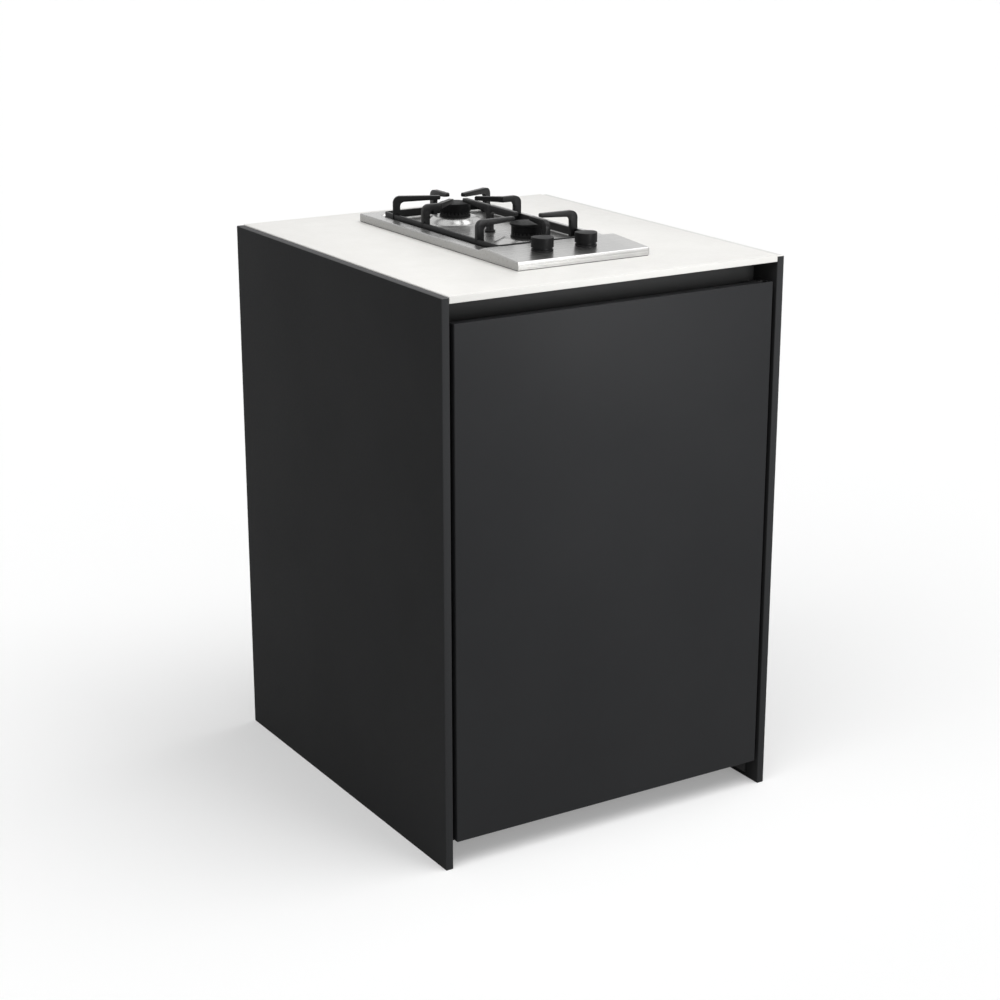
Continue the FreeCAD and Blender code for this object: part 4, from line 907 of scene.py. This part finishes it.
def turned_mesh(name, outline, axis):
    """Mesh of a closed outline of (radius, height) points spun round an upright axis."""
    shape = bmesh.new()
    ring = [shape.verts.new((axis.x + radius, axis.y, height)) for radius, height in outline]
    edges = [shape.edges.new((ring[place - 1], ring[place])) for place in range(len(ring))]
    bmesh.ops.spin(shape, geom=ring + edges, cent=(axis.x, axis.y, 0), axis=(0, 0, 1), angle=2 * math.pi,
                   steps=TURN_STEPS, use_merge=True)
    bmesh.ops.remove_doubles(shape, verts=shape.verts, dist=MERGE)
    bmesh.ops.recalc_face_normals(shape, faces=shape.faces)
    mesh = bpy.data.meshes.new(name)
    shape.to_mesh(mesh)
    shape.free()
    mesh.shade_smooth()
    mesh.set_sharp_from_angle(angle=SHARP_EDGE)
    return mesh


for side in ("left", "right"):
    node = f"knob_bezel_{side}"
    low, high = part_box(node)
    seat_radius = (high.x - low.x) / 2
    collar_top = high.z + COLLAR_RISE
    outline = [(SEAT_BORE, low.z), (seat_radius, low.z), (seat_radius, high.z - SEAT_EASE),
               (seat_radius - SEAT_EASE, high.z), (COLLAR_RADIUS, high.z),
               (COLLAR_RADIUS, collar_top - SEAT_EASE), (COLLAR_RADIUS - SEAT_EASE, collar_top),
               (COLLAR_BORE, collar_top), (COLLAR_BORE, high.z), (SEAT_BORE, high.z)]
    add_piece(f"{node}_turned", turned_mesh(node, outline, (low + high) / 2), node)
print(f"2 knob seats of radius {seat_radius / MM:.1f} mm with a collar")

# %% [markdown]
# ### Burner heads
# A burner head is a ring with slots in its upper edge where the flames come out; the cap closes the slots
# from above. The slots could be cut, but it is simpler to repeat what is left between them: one tooth is
# an arc with a rectangular section, and the rule sets it round the ring once for every slot.

# %% Burner heads
PORTS = 24
PITCH = 2 * math.pi / PORTS
HEAD_STEPS = 96
TOOTH_STEPS = 6
TOOTH_ROOT = 0.5 * MM


def flat_ring(rule, outside, inside, high):
    """Ring with a rectangular section, standing on its own middle plane."""
    path = rule.node("GeometryNodeCurvePrimitiveCircle", None, {"Resolution": HEAD_STEPS},
                     Radius=(outside + inside) * 0.5)
    section = rule.node("GeometryNodeCurvePrimitiveQuadrilateral", Width=outside - inside, Height=high)
    return rule.node("GeometryNodeCurveToMesh", Curve=path, Profile_Curve=section)


def slot_tooth(rule, outside, inside, high):
    """Arc with a rectangular section that leaves one slot's width free in its share of the ring."""
    sweep = rule.size("Port Wide") / outside * -1 + PITCH
    arc = rule.node("GeometryNodeCurveArc", None, {"Resolution": TOOTH_STEPS},
                    Radius=(outside + inside) * 0.5, Sweep_Angle=sweep)
    section = rule.node("GeometryNodeCurvePrimitiveQuadrilateral", Width=outside - inside, Height=high)
    return rule.node("GeometryNodeCurveToMesh", None, {"Fill Caps": True}, Curve=arc, Profile_Curve=section)


for place in ("front", "rear"):
    node = f"flame_spreader_{place}"
    low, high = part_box(node)
    middle = (low + high) / 2
    head = Rule(f"{node}_rule", {
        "Lip": (high.x - low.x) / 2, "Lip High": 2 * MM, "Outside": 25.5 * MM, "Inside": 20.5 * MM,
        "High": high.z - low.z, "Port Wide": 1.8 * MM, "Port Deep": 3 * MM})
    outside = head.size("Outside")
    inside = head.size("Inside")
    lip_high = head.size("Lip High")
    wall_high = head.size("High") - head.size("Port Deep")
    tooth_high = head.size("Port Deep") + TOOTH_ROOT
    lip = head.risen(flat_ring(head, head.size("Lip"), inside, lip_high), lip_high * 0.5)
    wall = head.risen(flat_ring(head, outside, inside, wall_high), wall_high * 0.5)
    tooth = head.risen(slot_tooth(head, outside, inside, tooth_high), head.size("High") - tooth_high * 0.5)
    spots = head.node("GeometryNodePoints", None, {"Count": PORTS})
    turn = head.node("ShaderNodeCombineXYZ", Z=Term(head.tree, head.node("GeometryNodeInputIndex")) * PITCH)
    crown = head.node("GeometryNodeInstanceOnPoints", Points=spots, Instance=tooth, Rotation=turn)
    whole = head.node("GeometryNodeJoinGeometry", Geometry=[lip, wall, crown])
    standing = head.node("GeometryNodeTransform", None, {"Translation": (middle.x, middle.y, low.z)},
                         Geometry=whole)
    add_piece(f"burner_head_{place}", head.mesh(standing, SLOT_OF[node]), node)
print(f"2 burner heads with {PORTS} slots each")

# %% [markdown]
# ### Screws
# The boards and the hob are held by hexagon-head screws, one size for each. A CAD screw only tells where
# its head sits and which way it points. So the corners of each screw are gathered first, and the places
# under the heads are kept as points.

# %% Where the screws sit
HEAD_CORNER = 3.0 * MM


def screw_seats(node):
    """Mesh with a point under each screw head of a CAD node and the way the head looks as its attribute."""
    shape = bmesh.new()
    shape.from_mesh(NODES[node].data)
    bmesh.ops.remove_doubles(shape, verts=shape.verts, dist=MERGE)
    waiting = set(shape.verts)
    seats, aims = [], []
    while waiting:
        solid = {waiting.pop()}
        edge = set(solid)
        while edge:
            edge = {line.other_vert(corner) for corner in edge for line in corner.link_edges} - solid
            solid |= edge
        waiting -= solid
        corners = [corner.co.copy() for corner in solid]
        low = Vector([min(corner[axis] for corner in corners) for axis in range(3)])
        high = Vector([max(corner[axis] for corner in corners) for axis in range(3)])
        middle, size = (low + high) / 2, high - low
        along = max(range(3), key=lambda axis: size[axis])
        way = Vector([float(axis == along) for axis in range(3)])
        heads = [corner for corner in corners if (corner - middle).cross(way).length > HEAD_CORNER]
        near = min(heads, key=lambda corner: abs((corner - middle).dot(way)))
        side = (near - middle).dot(way)
        seats.append(middle + way * side)
        aims.append(way if side > 0 else -way)
    shape.free()
    mesh = bpy.data.meshes.new(f"{node}_seats")
    mesh.from_pydata(seats, [], [])
    aim = mesh.attributes.new("aim", "FLOAT_VECTOR", "POINT")
    aim.data.foreach_set("vector", [value for way in aims for value in way])
    return mesh


print("screw seats ready")

# %% [markdown]
# A rule then sets one screw with a washer face on every such point, turned the way that the point's
# attribute says.

# %% Screws
HEX = 6
ROUND_STEPS = 24
WASHER_TO_HEAD = 1.12
WASHER_SHARE = 0.2


def pin(rule, radius, high, corners):
    """Upright prism or cylinder that stands on the seat."""
    made = rule.node("GeometryNodeMeshCylinder", None, {"Vertices": corners}, Radius=radius, Depth=high)
    return rule.risen(made, high * 0.5)


def set_screws(node, head, head_high, shank, length):
    """Replace a CAD node's screws by screws with a hexagon head and a washer face."""
    rule = Rule(f"{node}_rule", {
        "Head": head, "Head High": head_high, "Washer": head * WASHER_TO_HEAD,
        "Washer High": head_high * WASHER_SHARE, "Shank": shank, "Length": length})
    hexagon = pin(rule, rule.size("Head"), rule.size("Head High"), HEX)
    washer = pin(rule, rule.size("Washer"), rule.size("Washer High"), ROUND_STEPS)
    upright_stem = pin(rule, rule.size("Shank"), rule.size("Length"), ROUND_STEPS)
    stem = rule.risen(upright_stem, rule.size("Length") * -1)
    screw = rule.node("GeometryNodeJoinGeometry", Geometry=[hexagon, washer, stem])
    aim = rule.node("GeometryNodeInputNamedAttribute", {"data_type": "FLOAT_VECTOR"}, {"Name": "aim"})
    turn = rule.node("FunctionNodeAlignRotationToVector", {"axis": "Z"}, Vector=aim)
    set_out = rule.node("GeometryNodeInstanceOnPoints", Points=rule.given.outputs["Start"],
                        Instance=screw, Rotation=turn)
    seats = screw_seats(node)
    count = len(seats.vertices)
    add_piece(f"{node}_hexagon", rule.mesh(set_out, SLOT_OF[node], seats), node)
    print(f"{node}: {count} screws")


set_screws("cabinet_screws", head=4.6 * MM, head_high=2.6 * MM, shank=1.9 * MM, length=9.0 * MM)
set_screws("hob_clamp_screws", head=5.0 * MM, head_high=3.0 * MM, shank=2.4 * MM, length=8.0 * MM)
